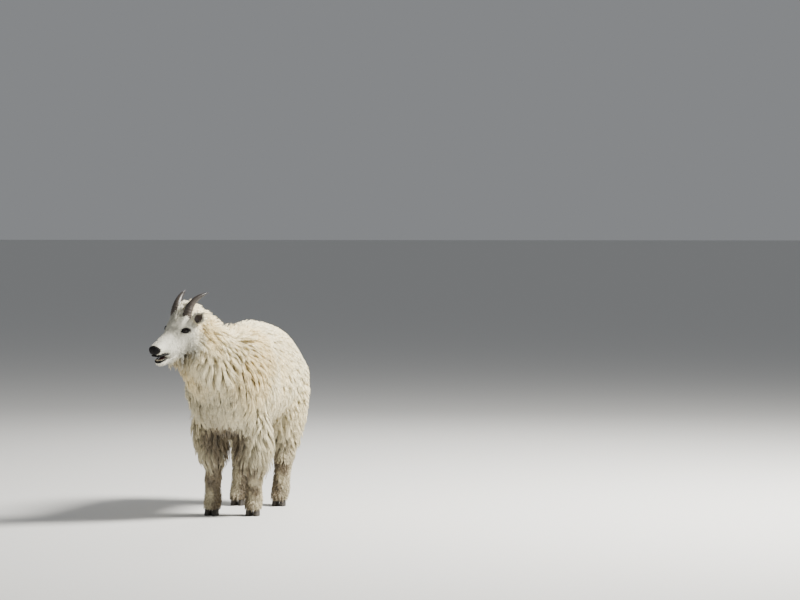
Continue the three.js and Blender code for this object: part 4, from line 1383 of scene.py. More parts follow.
@dataclass
class Coat:
    """The coat: tufts of hair as closed tapered prisms, grouped in clumps along the lie."""

    body: Body
    palette: Palette
    finish: Material
    low: Array
    high: Array
    most_triangles: int = 185000
    long_from: float = 32.0
    long_rings: int = 4
    short_rings: int = 3
    long_tufts: int = 11
    short_tufts: int = 4
    ear_tufts: int = 1800
    flyaway: float = 0.14
    tries: int = 7
    least_cell: float = 5.0
    cell_step: float = 1.3
    seed: int = 41
    ear_seed: int = 5

    def style(self, points: Array) -> tuple[Array, Array]:
        """The coat at points: the body's book * (1 - head share) + the head's * head share.

        Args:
            points: places in the goat's frame.

        Returns:
            Lies, and values as in VALUES.
        """
        middle = np.interp(points[:, 1] / MM, *zip(*NECK_MIDDLE))
        body_places = points / MM - np.column_stack([middle, 0 * middle, 0 * middle])
        lie, values = BODY_COAT.read(body_places)
        own = apply(np.linalg.inv(self.body.head), points) / MM
        head_lie, head_values = HEAD_COAT.read(own)
        share = self.body.head_share(points)[:, None]
        lie = unit(lie) * (1 - share) + unit(head_lie) @ self.body.head[:3, :3].T * share
        return unit(lie), values * (1 - share) + head_values * share

    def bare(self, points: Array) -> Array:
        """Where no tuft grows: hooves, nose, lips, eyes, mouth and the horns' feet.

        Args:
            points: places in the goat's frame.

        Returns:
            True where bare.
        """
        q = apply(np.linalg.inv(self.body.head), points) / MM
        x, y, z = np.abs(q[:, 0]), q[:, 1], q[:, 2]
        nose = nose_oval(q) < 1.02
        eye = (x > 30) & (eye_oval(q) < 1.35)
        mouth = mouth_band(q) < 0.95
        horn = (((x - 37) / 21) ** 2 + ((y - 42) / 22) ** 2 < 1) & (z > 25) & (x < 60)
        head = np.linalg.norm(q, axis=1) < 260
        return ((nose | eye | mouth | horn) & head) | (points[:, 2] < 0.046)

    def roots(self, hide: Piece, rng: np.random.Generator) -> tuple[Array, Array]:
        """Places and normals of the clumps on the skin, about one spacing apart.

        Candidates are thrown on the skin's triangles, more where the spacing is small, and
        one is kept in each cell of a grid of the spacing's size.

        Args:
            hide: the skin.
            rng: the random stream.

        Returns:
            Places in the goat's frame and outward normals.
        """
        corners = triangle_corners(hide) - self.body.place
        a, b, c = corners
        cross = np.cross(b - a, c - a)
        area = np.linalg.norm(cross, axis=1) / 2
        spacing = self.style((a + b + c) / 3)[1][:, VALUES.index("spacing")] * MM
        chance = area / spacing ** 2
        count = int(chance.sum() * self.tries)
        pick = rng.choice(len(area), count, p=chance / chance.sum())
        points = spots_on(corners, pick, rng)
        normals = unit(cross[pick])
        least = self.least_cell * MM
        level = np.round(np.log(spacing[pick] / least) / np.log(self.cell_step)).astype(int)
        cell = np.floor(points / (least * self.cell_step ** level * 1.2)[:, None]).astype(int)
        keys = np.column_stack([level, cell])
        _, first = np.unique(keys, axis=0, return_index=True)
        points, normals = points[first], normals[first]
        keep = ~self.bare(points)
        return points[keep], normals[keep]

    def courses(self, root: Array, normal: Array, style: Array, rings: int,
                rng: np.random.Generator) -> tuple[Array, Array]:
        """The path of each clump: from its root in the skin, along the lie, to its tip.

        Each step goes along the lie on the tangent plane, bent by a wandering turn and drawn
        down by the hang, and the point is then pushed up to its height in the coat, or as far
        as its steepest rise lets it: loft * share - depth * (1 - share)^1.4.

        Args:
            root: places on the skin.
            normal: outward normals there.
            style: the coat's values there.
            rings: steps to the tip.
            rng: the random stream.

        Returns:
            Paths of rings + 1 points a clump, and normals at them.
        """
        length, loft, hang = (style[:, VALUES.index(k)] for k in ("length", "loft", "hang"))
        length = length * MM * rng.uniform(0.78, 1.15, len(root)) * (1 + 0.1 * wave(root, 2.2, 0.2))
        depth = np.maximum(-self.body.field(root)[0], 0.5 * MM)
        loft = loft * MM * rng.uniform(0.3, 1.5, len(root))
        steepest = 0.42 * length / rings + loft / rings
        bend = 0.3 * wave(root, 5.0, 0.16) + rng.normal(0, 0.13, len(root))
        point = root - normal * 2 * MM
        path, normals = [point], [normal]
        for k in range(1, rings + 1):
            share = k / rings
            lie = self.style(point)[0]
            across = unit(np.cross(normal, lie))
            lie = lie + across * (bend * (0.5 + share))[:, None]
            lie = unit(lie - normal * np.einsum("ij,ij->i", lie, normal)[:, None])
            hung = np.clip(np.maximum(hang, -normal[:, 2] * 0.9), 0, 1)[:, None]
            free = hung * (0.4 + 0.6 * share)
            lie = unit(lie * (1 - free) + np.array([0, 0, -1.0]) * free)
            moved = point + lie * (length / rings)[:, None]
            height, n = self.body.field(moved)
            gap = loft * share - depth * (1 - share) ** 1.4 - height
            drawn = gap * 0.7 * (1 - free[:, 0])
            point = moved + n * np.where(gap > 0, np.minimum(gap, steepest), drawn)[:, None]
            normal = n
            path.append(point)
            normals.append(normal)
        return np.stack(path, 1), np.stack(normals, 1)

    def tufts(self, root: Array, normal: Array, rings: int, each: int,
              rng: np.random.Generator) -> dict[str, Array]:
        """The tufts of some clumps as arrays.

        A tuft starts at its own place round the clump's root and is drawn to the clump's
        course by the gather, with a small wave of its own.

        Args:
            root: places of the clumps.
            normal: normals there.
            rings: rings in a tuft.
            each: tufts in a clump.
            rng: the random stream.

        Returns:
            Vertices of n tufts by 3 * rings + 1, and each tuft's root, tint, normal and length.
        """
        style = self.style(root)[1]
        path, normals = self.courses(root, normal, style, rings, rng)
        clumps, points = path.shape[:2]
        value = {key: style[:, k][:, None] for k, key in enumerate(VALUES)}
        share = np.linspace(0, 1, points)
        tangent = unit(np.gradient(path, axis=1))
        across = unit(np.cross(tangent, normals))
        spread = rng.uniform(-1, 1, (clumps, each, 2)) * value["bundle"][..., None] * MM
        loose = rng.uniform(0, 1, (clumps, each)) < self.flyaway
        gather = value["gather"] * np.where(loose, 0.2, rng.uniform(0.85, 1.12, (clumps, each)))
        keep = 1 - np.clip(gather, 0, 0.96)[..., None] * share ** 0.9
        reach = 1 - rng.uniform(0, 0.32, (clumps, each)) * (rng.random((clumps, each)) < 0.6)
        where = np.clip(share * reach[..., None], 0, 1) * (points - 1)
        low = np.minimum(where.astype(int), points - 2)
        frac = (where - low)[..., None]
        index = np.arange(clumps)[:, None, None]
        along = path[index, low] * (1 - frac) + path[index, low + 1] * frac
        side, up = across[index, low], normals[index, low]
        phase = rng.uniform(0, 2 * np.pi, (clumps, each, 1))
        size = value["curl"][..., None] * MM * share
        curl = np.sin(phase + share * rng.uniform(3, 6.5, (clumps, each, 1))) * size
        rise = np.cos(phase * 1.7 + share * 5) * size * 0.5
        centre = along + side * (spread[..., :1] * keep + curl)[..., None]
        centre = centre + up * (np.abs(spread[..., 1:]) * 0.3 * keep + rise)[..., None]
        flat = centre.reshape(-1, points, 3)
        up = up.reshape(-1, points, 3)
        width = np.repeat(style[:, VALUES.index("width")], each) * MM
        width = width * rng.uniform(0.75, 1.3, len(flat))
        tint = 0.6 * rng.random((clumps, each)) + 0.4 * rng.random((clumps, 1))
        return {
            "verts": prism_points(flat, up, width), "root": flat[:, 0], "tint": tint.ravel(),
            "normal": np.repeat(normal, each, axis=0), "length": np.repeat(style[:, 0], each),
        }

    def ear_fur(self, cup: Piece, pointing: Sequence[float]) -> Piece:
        """The fur of an ear: short tufts on its outside and rim, laid towards its tip.

        A tuft's path is root + lie * length * share, raised along the normal by
        length * 0.35 * share * (1.4 - share).

        Args:
            cup: the ear.
            pointing: the ear's direction in the head's own frame.

        Returns:
            The piece of coat.
        """
        rng = np.random.default_rng(self.ear_seed)
        corners = triangle_corners(cup) - self.body.place
        a, b, c = corners
        cross = np.cross(b - a, c - a)
        chance = np.linalg.norm(cross, axis=1) * (triangle_values(cup, "inside") < 0.5)
        pick = rng.choice(len(a), self.ear_tufts, p=chance / chance.sum())
        root = spots_on(corners, pick, rng)
        normal = unit(cross[pick])
        along = self.body.head[:3, :3] @ unit(np.array(pointing, float))
        lie = unit(along - normal * (normal @ along)[:, None] + rng.normal(0, 0.18, root.shape))
        length = (rng.uniform(8, 17, self.ear_tufts) * MM)[:, None, None]
        share = np.linspace(0, 1, self.short_rings + 1)[None, :, None]
        path = root[:, None] - normal[:, None] * MM + lie[:, None] * length * share
        path = path + normal[:, None] * length * 0.35 * share * (1.4 - share)
        up = np.repeat(normal[:, None], self.short_rings + 1, axis=1)
        width = rng.uniform(0.7, 1.2, self.ear_tufts) * MM
        data = {"verts": prism_points(path, up, width), "root": root, "normal": normal,
                "tint": rng.random(self.ear_tufts), "length": length[:, 0, 0] / MM}
        title = cup.name.replace("ear_cup", "coat_ear")
        return self.piece(title, data, self.short_rings)

    def nearest(self, points: Array) -> tuple[Array, Array]:
        """The number of the nearest form at points, and their places on the map.

        A form's tile is a third of the map wide, with the share across and the angle up.

        Args:
            points: places in the goat's frame.

        Returns:
            Form numbers, and UV places.
        """
        found = [form.locate(points) for form in self.body.forms.values()]
        number = np.argmin([height for _, _, height in found], axis=0)
        t, angle = (np.choose(number, [f[k] for f in found]) for k in (0, 1))
        u = (number % 3 + 0.04 + 0.9 * t) / 3
        v = (number // 3 + 0.04 + 0.9 * (angle / (2 * np.pi) % 1)) / 3
        return number, np.stack([u, v], -1)

    def build(self, hide: Piece) -> list[Piece]:
        """Makes the coat's pieces, form by form along each, under the most triangles.

        Args:
            hide: the skin.

        Returns:
            The pieces.
        """
        rng = np.random.default_rng(self.seed)
        root, normal = self.roots(hide, rng)
        length = self.style(root)[1][:, 0]
        form, _ = self.nearest(root)
        names = list(self.body.forms)
        pieces = []
        for word, chosen, rings, each in (
            ("long", length >= self.long_from, self.long_rings, self.long_tufts),
            ("short", length < self.long_from, self.short_rings, self.short_tufts),
        ):
            per_clump = each * (6 * (rings - 1) + 4)
            limit = self.most_triangles // per_clump
            order = np.flatnonzero(chosen)
            order = order[np.lexsort((root[order, 1], form[order]))]
            groups = [order[form[order] == k] for k in range(len(names))]
            for name, group in zip(names, groups):
                parts = -(-len(group) // limit)
                for part, rows in enumerate(np.array_split(group, max(parts, 1))):
                    if len(rows) == 0:
                        continue
                    title = f"coat_{word}_{name}" + (f"_{part + 1}" if parts > 1 else "")
                    data = self.tufts(root[rows], normal[rows], rings, each, rng)
                    pieces.append(self.piece(title, data, rings))
                    LOG.info("%s: %d clumps, %d triangles", title, len(rows),
                             len(pieces[-1].data.polygons))
        return pieces

    def piece(self, name: str, data: dict[str, Array], rings: int) -> Piece:
        """One piece of coat from its tufts' arrays.

        Args:
            name: its name.
            data: what tufts returns.
            rings: rings in a tuft.

        Returns:
            The piece.
        """
        verts = data["verts"]
        tufts, each = verts.shape[:2]
        tris = (np.arange(tufts)[:, None, None] * each + prism_faces(rings)[None]).reshape(-1, 3)
        placed = np.clip(self.body.to_frame(verts.reshape(-1, 3)), self.low, self.high)
        mesh = bpy.data.meshes.new(name)
        mesh.vertices.add(len(placed))
        mesh.vertices.foreach_set("co", placed.ravel())
        mesh.loops.add(tris.size)
        mesh.loops.foreach_set("vertex_index", tris.ravel().astype(np.int32))
        mesh.polygons.add(len(tris))
        mesh.polygons.foreach_set("loop_start", np.arange(0, tris.size, 3, dtype=np.int32))
        mesh.polygons.foreach_set("use_smooth", np.ones(len(tris), bool))
        mesh.update(calc_edges=True)
        left = 1 - np.append(np.repeat(np.arange(rings), 3) / rings, 1.0)
        # Painted shade at the tuft roots: deeper where the hair is longer
        deep = np.clip((data["length"] - 42) / 66, 0.1, 1.0)
        number_layer(mesh, "along", (1 - deep[:, None] * left).ravel())
        number_layer(mesh, "tint", np.repeat(data["tint"], each))
        colour = self.palette.coat(data["root"], data["normal"], self.body)
        colour_layer(mesh, "coat", np.repeat(colour, each, axis=0))
        corner = np.append(np.repeat(np.arange(rings), 3), rings) / rings
        around = np.append(np.tile(np.arange(3), rings), 1) / 2
        patch = np.stack([corner, around], -1) * 0.003 - 0.0015
        uv = (self.nearest(data["root"])[1][:, None] + patch[None]).reshape(-1, 2)
        layer = mesh.uv_layers.new(name="OFBake")
        layer.data.foreach_set("uv", uv[tris.ravel()].ravel())
        mesh.materials.append(self.finish)
        piece = bpy.data.objects.new(name, mesh)
        bpy.context.scene.collection.objects.link(piece)
        return piece


def bake_modifiers(piece: Piece) -> Piece:
    """Gives a piece the mesh that its modifiers make, and takes them off.

    Args:
        piece: the piece.

    Returns:
        The same piece.
    """
    graph = bpy.context.evaluated_depsgraph_get()
    made = bpy.data.meshes.new_from_object(piece.evaluated_get(graph))
    piece.modifiers.clear()
    piece.data = made
    return piece


def triangle_count(piece: Piece) -> int:
    """How many triangles a piece's faces make."""
    return sum(len(face.vertices) - 2 for face in piece.data.polygons)


def triangle_corners(piece: Piece) -> Array:
    """The corners of a piece's triangles, as three arrays of points."""
    return vectors(piece.data.vertices, "co")[triangles_of(piece.data)].transpose(1, 0, 2)


def spots_on(corners: Array, pick: Array, rng: np.random.Generator) -> Array:
    """Random spots on picked triangles: a + (b - a) * u + (c - a) * v, folded into each.

    Args:
        corners: the corners a, b and c of all triangles.
        pick: the number of a triangle for each spot.
        rng: the random stream.

    Returns:
        The spots, one a row.
    """
    a, b, c = corners
    u, v = rng.random((2, len(pick), 1))
    fold = u + v > 1
    u, v = np.where(fold, 1 - u, u), np.where(fold, 1 - v, v)
    return a[pick] + (b - a)[pick] * u + (c - a)[pick] * v


def triangle_values(piece: Piece, name: str) -> Array:
    """The mean of a piece's own number over each of its triangles.

    Args:
        piece: the piece.
        name: the number's name.

    Returns:
        A value a triangle.
    """
    values = np.empty(len(piece.data.vertices), np.float32)
    piece.data.attributes[name].data.foreach_get("value", values)
    return values[triangles_of(piece.data)].mean(axis=1)


def prism_points(path: Array, up: Array, width: Array) -> Array:
    """Rings of three points along each path, and its tip.

    A ring's points are the path's point plus side * cos * w and up * sin * 0.5 w, where w is
    the width times a taper that swells a little and then narrows to the tip.

    Args:
        path: n paths of rings + 1 points.
        up: directions that the flat tufts face.
        width: the half width of each tuft at its widest.

    Returns:
        n by 3 * rings + 1 points.
    """
    rings = path.shape[1] - 1
    tangent = unit(np.gradient(path, axis=1))[:, :rings]
    side = unit(np.cross(tangent, up[:, :rings]))
    face = np.cross(side, tangent)
    share = np.arange(rings) / rings
    taper = (0.75 + 1.1 * share) * (1 - share) ** 0.55
    w = (width[:, None] * taper / taper.max())[..., None, None]
    angle = np.radians([90.0, 210.0, 330.0])
    c, s = np.cos(angle)[:, None], np.sin(angle)[:, None]
    ring = side[:, :, None] * c + face[:, :, None] * s * 0.5
    points = path[:, :rings, None] + ring * w
    flat = points.reshape(len(path), rings * 3, 3)
    return np.concatenate([flat, path[:, rings:]], 1)


def prism_faces(rings: int) -> Array:
    """Triangles of one tuft: its sides, its pointed tip and its root's cap.

    Args:
        rings: rings in the tuft.

    Returns:
        Triples of vertex numbers.
    """
    faces = []
    for k in range(rings - 1):
        for j in range(3):
            a, b = 3 * k + j, 3 * k + (j + 1) % 3
            faces += [[a, b, a + 3], [b, b + 3, a + 3]]
    tip, last = 3 * rings, 3 * (rings - 1)
    faces += [[last + j, last + (j + 1) % 3, tip] for j in range(3)]
    faces.append([2, 1, 0])
    return np.array(faces)


@dataclass
class Head:
    """The parts of the head that aren't fur: eyes, lids, nose, lips, mouth, horns and ears.

    The leaf holds, from an ear's root to its tip, the share of its full width, the depth of
    its back and the depth of its hollow.
    """

    body: Body
    globe: Material
    black: Material
    sheath: Material
    cup: Material
    flesh: Material
    enamel: Material
    eye_turn: float = 14.0
    iris_angle: float = 0.62
    cornea_rise: float = 0.05
    pupil_half: tuple[float, float] = (6.2, 2.6)
    lid_half: float = 17.4
    lid_rise: float = 11.2
    lid_drop: float = 9.8
    lid_thickness: float = 2.2
    lid_tilt: float = 14.0
    lid_turn: float = 16.0
    nose_depth: float = 6.0
    nostril_place: tuple[float, float] = (16.0, -30.0)
    nostril_size: tuple[float, float, float] = (7.5, 3.4, 16.0)
    nostril_depth: float = 9.0
    upper_lip: float = 5.6
    lower_lip: float = 5.4
    tooth_count: int = 8
    tooth_half: float = 7.5
    tooth_arc: float = 0.95
    horn_rings: float = 13.0
    ring_rise: float = 0.030
    leaf: tuple[tuple[float, float, float], ...] = (
        (0.5, 15, -15), (0.74, 17, -6), (0.96, 17, 10), (1, 15, 10), (0.74, 10, 6),
        (0.3, 5, 3), (0.05, 2, 1),
    )
    leaf_rim: float = 2.0

    def to_frame(self, points: Array, matrix: Array | None = None) -> Array:
        """Points of the head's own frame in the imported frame."""
        return self.body.to_frame(apply(self.body.head if matrix is None else matrix, points))

    def eye(self, name: str, side: int) -> Piece:
        """An eyeball: a globe with a raised cornea, and its iris and pupil as an attribute.

        At an angle from the gaze, the radius is the eye's * (1 + rise * exp(-(angle /
        iris angle)⁴)). The pupil is a level slot.

        Args:
            name: left or right.
            side: 1 or -1.

        Returns:
            The piece.
        """
        rows, sides = 48, 64
        polar = np.linspace(0.02, np.pi - 0.02, rows)[:, None] * np.ones(sides)
        turn = np.ones(rows)[:, None] * np.arange(sides) / sides * 2 * np.pi
        radius = EYE_RADIUS * (1.0 + self.cornea_rise * np.exp(-((polar / self.iris_angle) ** 4)))
        c, s = np.cos(polar), np.sin(polar)
        local = np.stack([c, s * np.cos(turn), s * np.sin(turn)], -1) * radius[..., None]
        mirror = np.array([side, 1, 1])
        turned = (local * mirror) @ turn_about("z", -self.eye_turn * side)[:3, :3].T
        verts, faces = tube_faces(self.to_frame((turned + np.array(EYE_PLACE) * mirror) * MM))
        piece = closed_piece(f"eyeball_{name}", verts, faces, self.globe)
        wide, tall = self.pupil_half
        slot = np.maximum(np.abs(local[..., 1]) / wide, np.abs(local[..., 2]) / tall)
        edge = smoothstep(polar, self.iris_angle, self.iris_angle + 0.06)
        iris = smoothstep(slot, 0.85, 1.1) * (1 - edge)
        number_layer(piece.data, "iris", np.append(iris.ravel(), [0.0, 0.0]))
        return piece

    def lids(self, name: str, side: int) -> Piece:
        """Black lids: a bead round the almond of the eye, lying on the globe.

        At an angle a the almond is u = half * cos a * (1 - 0.04 * cos 2a) and v = rise or
        drop * |sin a|^0.95, and the bead lies where a globe has its surface over them.

        Args:
            name: left or right.
            side: 1 or -1.

        Returns:
            The piece.
        """
        count, sides = 72, 12
        a = np.linspace(0, 2 * np.pi, count + 1)[:-1]
        c, s = np.cos(a), np.sin(a)
        u = self.lid_half * c * (1 - 0.04 * np.cos(2 * a))
        v = np.where(s > 0, self.lid_rise, self.lid_drop) * np.sign(s) * np.abs(s) ** 0.95
        w = np.sqrt(np.maximum((EYE_RADIUS + 1.2) ** 2 - (u * 0.72) ** 2 - v ** 2, 4.0))
        middle = np.stack([w, u, v], -1)
        outwards = unit(np.stack([w, u * 0.72, v], -1))
        ahead = unit(np.roll(middle, -1, 0) - np.roll(middle, 1, 0))
        across = np.cross(ahead, outwards)
        around = np.arange(sides) / sides * 2 * np.pi
        ring = np.cos(around)[None, :, None] * across[:, None]
        ring = ring + np.sin(around)[None, :, None] * outwards[:, None]
        radius = self.lid_thickness * (1 + 0.25 * (s > 0) * s)
        mirror = np.array([side, 1, 1])
        points = middle[:, None] + ring * radius[:, None, None]
        points = points @ turn_about("x", -self.lid_tilt)[:3, :3].T * mirror
        points = points @ turn_about("z", -self.lid_turn * side)[:3, :3].T
        grid = self.to_frame((points + np.array(EYE_PLACE) * mirror) * MM)
        index = np.arange(count * sides).reshape(count, sides)
        down, right = np.roll(index, -1, 0), np.roll(index, -1, 1)
        quads = np.stack([index, down, np.roll(down, -1, 1), right], -1).reshape(-1, 4)
        return closed_piece(f"eyelids_{name}", grid.reshape(-1, 3), quads.tolist(), self.black)

    def nose(self) -> Piece:
        """The nose pad: the muzzle's end raised inside an oval, with comma-shaped nostrils.

        The lift is a soft step of the oval's own equation, and each nostril is a hollow whose
        depth falls off as exp(-(distance²)) along a slanting slot.

        Returns:
            The piece.
        """
        form = self.body.forms["skull"]
        rows, sides = 90, 150
        t = np.linspace(0, 0.3, rows)[:, None] ** 1.15 * np.ones(sides)
        angle = np.ones(rows)[:, None] * np.arange(sides) / sides * 2 * np.pi
        local = form.local(t, angle) / MM
        lift = -0.2 - self.nose_depth * smoothstep(np.sqrt(nose_oval(local)), 0.86, 1.12)
        x = np.abs(local[..., 0]) - self.nostril_place[0]
        z = local[..., 2] - self.nostril_place[1]
        lean = x * 0.8 + z * 0.6
        wide = -x * 0.6 + z * 0.8
        long, broad, deep = self.nostril_size
        slot = (lean / long) ** 2 + ((wide - 0.05 * lean ** 2) / broad) ** 2
        slot = slot + ((local[..., 1] + 176) / deep) ** 2
        rim = 1.4 * np.exp(-((np.sqrt(slot) - 1.5) / 0.5) ** 2)
        lift = lift - self.nostril_depth * np.exp(-(slot ** 1.4)) + rim
        groove = np.exp(-((local[..., 0] / 1.6) ** 2)) * smoothstep(-local[..., 2], 18, 34)
        points = form.point(t, angle, (lift - 1.5 * groove) * MM)
        return closed_piece("nose", *tube_faces(self.body.to_frame(points)), self.black)

    def lips(self) -> list[Piece]:
        """Black lips: a bead along each edge of the mouth, fuller at the front.

        A bead's radius at a share t is its own * (0.15 + 0.8 * sin(pi * t)^0.9).

        Returns:
            The upper and the lower lip.
        """
        edges = (
            ("upper_lip", UPPER_LIP, self.body.head, self.upper_lip),
            ("lower_lip", LOWER_LIP, self.body.jaw_matrix, self.lower_lip),
        )
        made = []
        for name, half, matrix, radius in edges:
            points = np.array(half, float)
            whole = np.vstack([points, (points[:-1] * np.array([-1, 1, 1]))[::-1]])
            t = np.linspace(0, 1, 80)
            path = apply(matrix, catmull_rom(whole, t) * MM)
            swell = radius * (0.15 + 0.8 * np.sin(np.pi * t) ** 0.9)
            bead = tube(self.body.to_frame(path), swell * MM, 16)
            made.append(closed_piece(name, *bead, self.black))
        return made

    def mouth(self) -> list[Piece]:
        """The tongue and the lower front teeth.

        A tooth is an oval column that widens upwards and is rounded off at its end, and the
        teeth stand along an arc.

        Returns:
            Both pieces.
        """
        form = Form(lengthwise(TONGUE), (0, 1, 0), 2.0, (), self.body.jaw_matrix)
        verts, faces = form.grid(40, 32, lambda t: t * 0)
        licked = closed_piece("tongue_flesh", self.body.to_frame(verts), faces, self.flesh)
        half, middle = self.tooth_half, (self.tooth_count - 1) / 2
        made = []
        for i in range(self.tooth_count):
            turn = (i - middle) / middle * self.tooth_arc
            height = np.linspace(-half, half, 8)[:, None] * np.ones(12)
            around = np.ones(8)[:, None] * np.arange(12) / 12 * 2 * np.pi
            share = (height + half) / (2 * half)
            round_ = np.sqrt(np.maximum(1 - np.maximum(share - 0.75, 0) ** 2 * 12, 0.05))
            tooth = np.stack([
                np.cos(around) * (2.1 + 0.7 * share) * round_,
                np.sin(around) * 1.6 * round_, height,
            ], -1)
            tooth = tooth @ turn_about("x", 70.0)[:3, :3].T
            tooth = tooth @ turn_about("z", -np.degrees(turn))[:3, :3].T
            tooth = tooth + np.array([-np.sin(turn) * 15, -146 - np.cos(turn) * 13, -64])
            made.append(tube_faces(self.to_frame(tooth * MM, self.body.jaw_matrix)))
        return [licked, closed_piece("teeth", *merged(made), self.enamel)]

    def horn(self, name: str, side: int) -> Piece:
        """A horn: a tapering round sheath along its curve, ringed towards the base.

        At a share t the table's radius is multiplied by 1 + rise * sin(2 pi * rings * t),
        which fades out, and by a few narrow grooves.

        Args:
            name: left or right.
            side: 1 or -1.

        Returns:
            The piece.
        """
        rows, sides = 160, 40
        t = np.linspace(0, 1, rows)
        table = np.array(HORN, float)
        path = catmull_rom(table[:, :3], t) * np.array([side, 1, 1])
        radius = catmull_rom(np.pad(table[:, 3:4], ((0, 0), (0, 2))), t)[:, 0]
        rings = self.ring_rise * np.sin(t * 2 * np.pi * self.horn_rings)
        rings = rings * (1 - smoothstep(t, 0.3, 0.62))
        groove = -0.05 * (np.abs(np.sin(t * 2 * np.pi * 3.1)) > 0.985)
        groove = groove * (1 - smoothstep(t, 0.4, 0.6))
        radius = radius * (1 + rings + groove) * MM
        verts, faces = tube(self.to_frame(path * MM), radius, sides, 1.1)
        piece = closed_piece(f"horn_sheath_{name}", verts, faces, self.sheath)
        number_layer(piece.data, "along", np.append(np.repeat(t, sides), [0.0, 1.0]))
        return piece

    def ear(self, name: str, root: Sequence[float], pointing: Sequence[float],
            opening: Sequence[float]) -> Piece:
        """An ear: a leaf-shaped cup whose section is a crescent, folded near the root.

        A ring's point is the spine's + across * cos * width + facing * sin * depth, where the
        half towards the opening takes the hollow's depth and the other half the back's.

        Args:
            name: left or right.
            root: its root.
            pointing: where it points.
            opening: where its cup opens.

        Returns:
            The piece.
        """
        along = unit(np.array(pointing, float))
        facing = np.array(opening, float)
        facing = unit(facing - along * (facing @ along))
        across = np.cross(along, facing)
        rows, half = 60, 26
        t = np.linspace(0, 1, rows)
        share, back, hollow = catmull_rom(np.array(self.leaf, float), t).T
        width = share * EAR_WIDTH / 2
        rim = np.minimum(self.leaf_rim, width * 0.4)
        angle = (np.arange(2 * half) + 0.5) / half * np.pi
        inner = (np.arange(2 * half) < half)[None]
        reach = np.where(inner, (width - rim)[:, None], width[:, None])
        depth = np.where(inner, -hollow[:, None], back[:, None])
        curl = 1 + 0.08 * np.sin(t * 9)[:, None] * inner
        ring = (
            (np.cos(angle)[None] * reach)[..., None] * across
            + (np.sin(angle)[None] * depth * curl)[..., None] * facing
        )
        spine = np.array(root, float) + t[:, None] * EAR_LENGTH * along
        verts, faces = tube_faces(self.to_frame((spine[:, None] + ring) * MM))
        piece = closed_piece(f"ear_cup_{name}", verts, faces, self.cup)
        margin = 1 - smoothstep(np.abs(np.cos(angle)), 0.62, 0.86)
        inside = inner * margin * (1 - smoothstep(t, 0.8, 0.93))[:, None]
        number_layer(piece.data, "inside", np.append(inside.ravel(), [0.0, 0.0]))
        return piece


@dataclass
class Feet:
    """The cloven hooves and the small claws behind the pasterns.

    The levels hold, from the floor up, a digit's height, half width, and reach forwards and
    backwards. The claw's path holds how far behind the pastern's middle and how high it is.
    """

    body: Body
    horny: Material
    apart: float = 17.5
    splay: float = 6.0
    square: float = 2.4
    ridge: float = 0.012
    levels: tuple[tuple[float, float, float, float], ...] = (
        (0, 14.4, 35.2, 21.4), (1.2, 15, 36, 22), (12, 14.9, 33, 21.2), (24, 14.5, 29, 20),
        (34, 13.5, 24, 18.4), (40, 12.2, 20, 16.5), (43, 9.5, 15, 13), (44, 4, 7, 6),
    )
    claw_apart: float = 17.0
    claw_path: tuple[tuple[float, float], ...] = ((-20, 8), (-2, -4), (5, -18))
    claw_radii: tuple[float, float, float] = (8.0, 9.0, 3.6)

    def hoof(self, name: str, side: int, foot: Sequence[float], outer: int) -> Piece:
        """One digit: a wall that leans forward, rounded at the crown, flat below.

        A level's ring is a superellipse: cos and sin times the half width and the reach, and
        times 1 + ridge * sin(1.3 * height).

        Args:
            name: its name.
            side: 1 or -1.
            foot: the leg's last station.
            outer: 1 for the outer digit, -1 for the inner.

        Returns:
            The piece.
        """
        place = np.array([foot[0] + outer * side * self.apart, foot[1], 0.0])
        splay = turn_about("z", outer * side * self.splay)[:3, :3]
        levels = np.array(self.levels, float)
        rows, sides = 50, 56
        t = np.linspace(0, 1, rows)
        wide, fore, aft = catmull_rom(levels[:, 1:], t).T
        z = np.maximum(catmull_rom(levels[:, :1], t)[:, 0], 0)
        angle = np.arange(sides) / sides * 2 * np.pi
        c, s = np.cos(angle), np.sin(angle)
        reach = np.where(s[None] > 0, aft[:, None], fore[:, None])
        ridge = 1 + self.ridge * np.sin(z * 1.3)[:, None]
        square = (np.abs(c) ** self.square + np.abs(s) ** self.square) ** (-1 / self.square)
        across = c * square * wide[:, None] * ridge
        ring = np.stack([across, s * square * reach * ridge, z[:, None] * np.ones(sides)], -1)
        verts, faces = tube_faces(self.body.to_frame((ring @ splay.T + place) * MM))
        return closed_piece(name, verts, faces, self.horny)

    def dewclaws(self, leg: str) -> Piece:
        """Two small horny claws behind the pastern.

        Args:
            leg: the leg.

        Returns:
            The piece.
        """
        x, y, z, _, aft = self.body.forms[leg].stations[-3][:5]
        t = np.linspace(0, 1, 20)
        radii = np.pad(np.array(self.claw_radii)[:, None], ((0, 0), (0, 2)))
        radii = catmull_rom(radii, t)[:, 0] * MM
        claws = []
        for outer in (-1, 1):
            across = x + outer * self.claw_apart
            path = np.array([(across, y + aft + back, z + up) for back, up in self.claw_path])
            claws.append(tube(self.body.to_frame(catmull_rom(path, t) * MM), radii, 18))
        return closed_piece(f"dewclaws_{leg}", *merged(claws), self.horny)


@dataclass(frozen=True)
class Lamp:
    """A soft square light aimed at the middle of the goat."""

    name: str
    place: tuple[float, float, float]
    power: float
    size: float
    tint: tuple[float, float, float]
    aim: tuple[float, float, float] = (0, 0, 0.55)

    def build(self) -> None:
        """Adds the light to the scene."""
        data = bpy.data.lights.new(self.name, "AREA")
        data.energy, data.size, data.color = self.power, self.size, self.tint
        lamp = bpy.data.objects.new(self.name, data)
        lamp.location = self.place
        aim = Vector(self.aim) - Vector(self.place)
        lamp.rotation_euler = aim.to_track_quat("-Z", "Y").to_euler()
        bpy.context.scene.collection.objects.link(lamp)


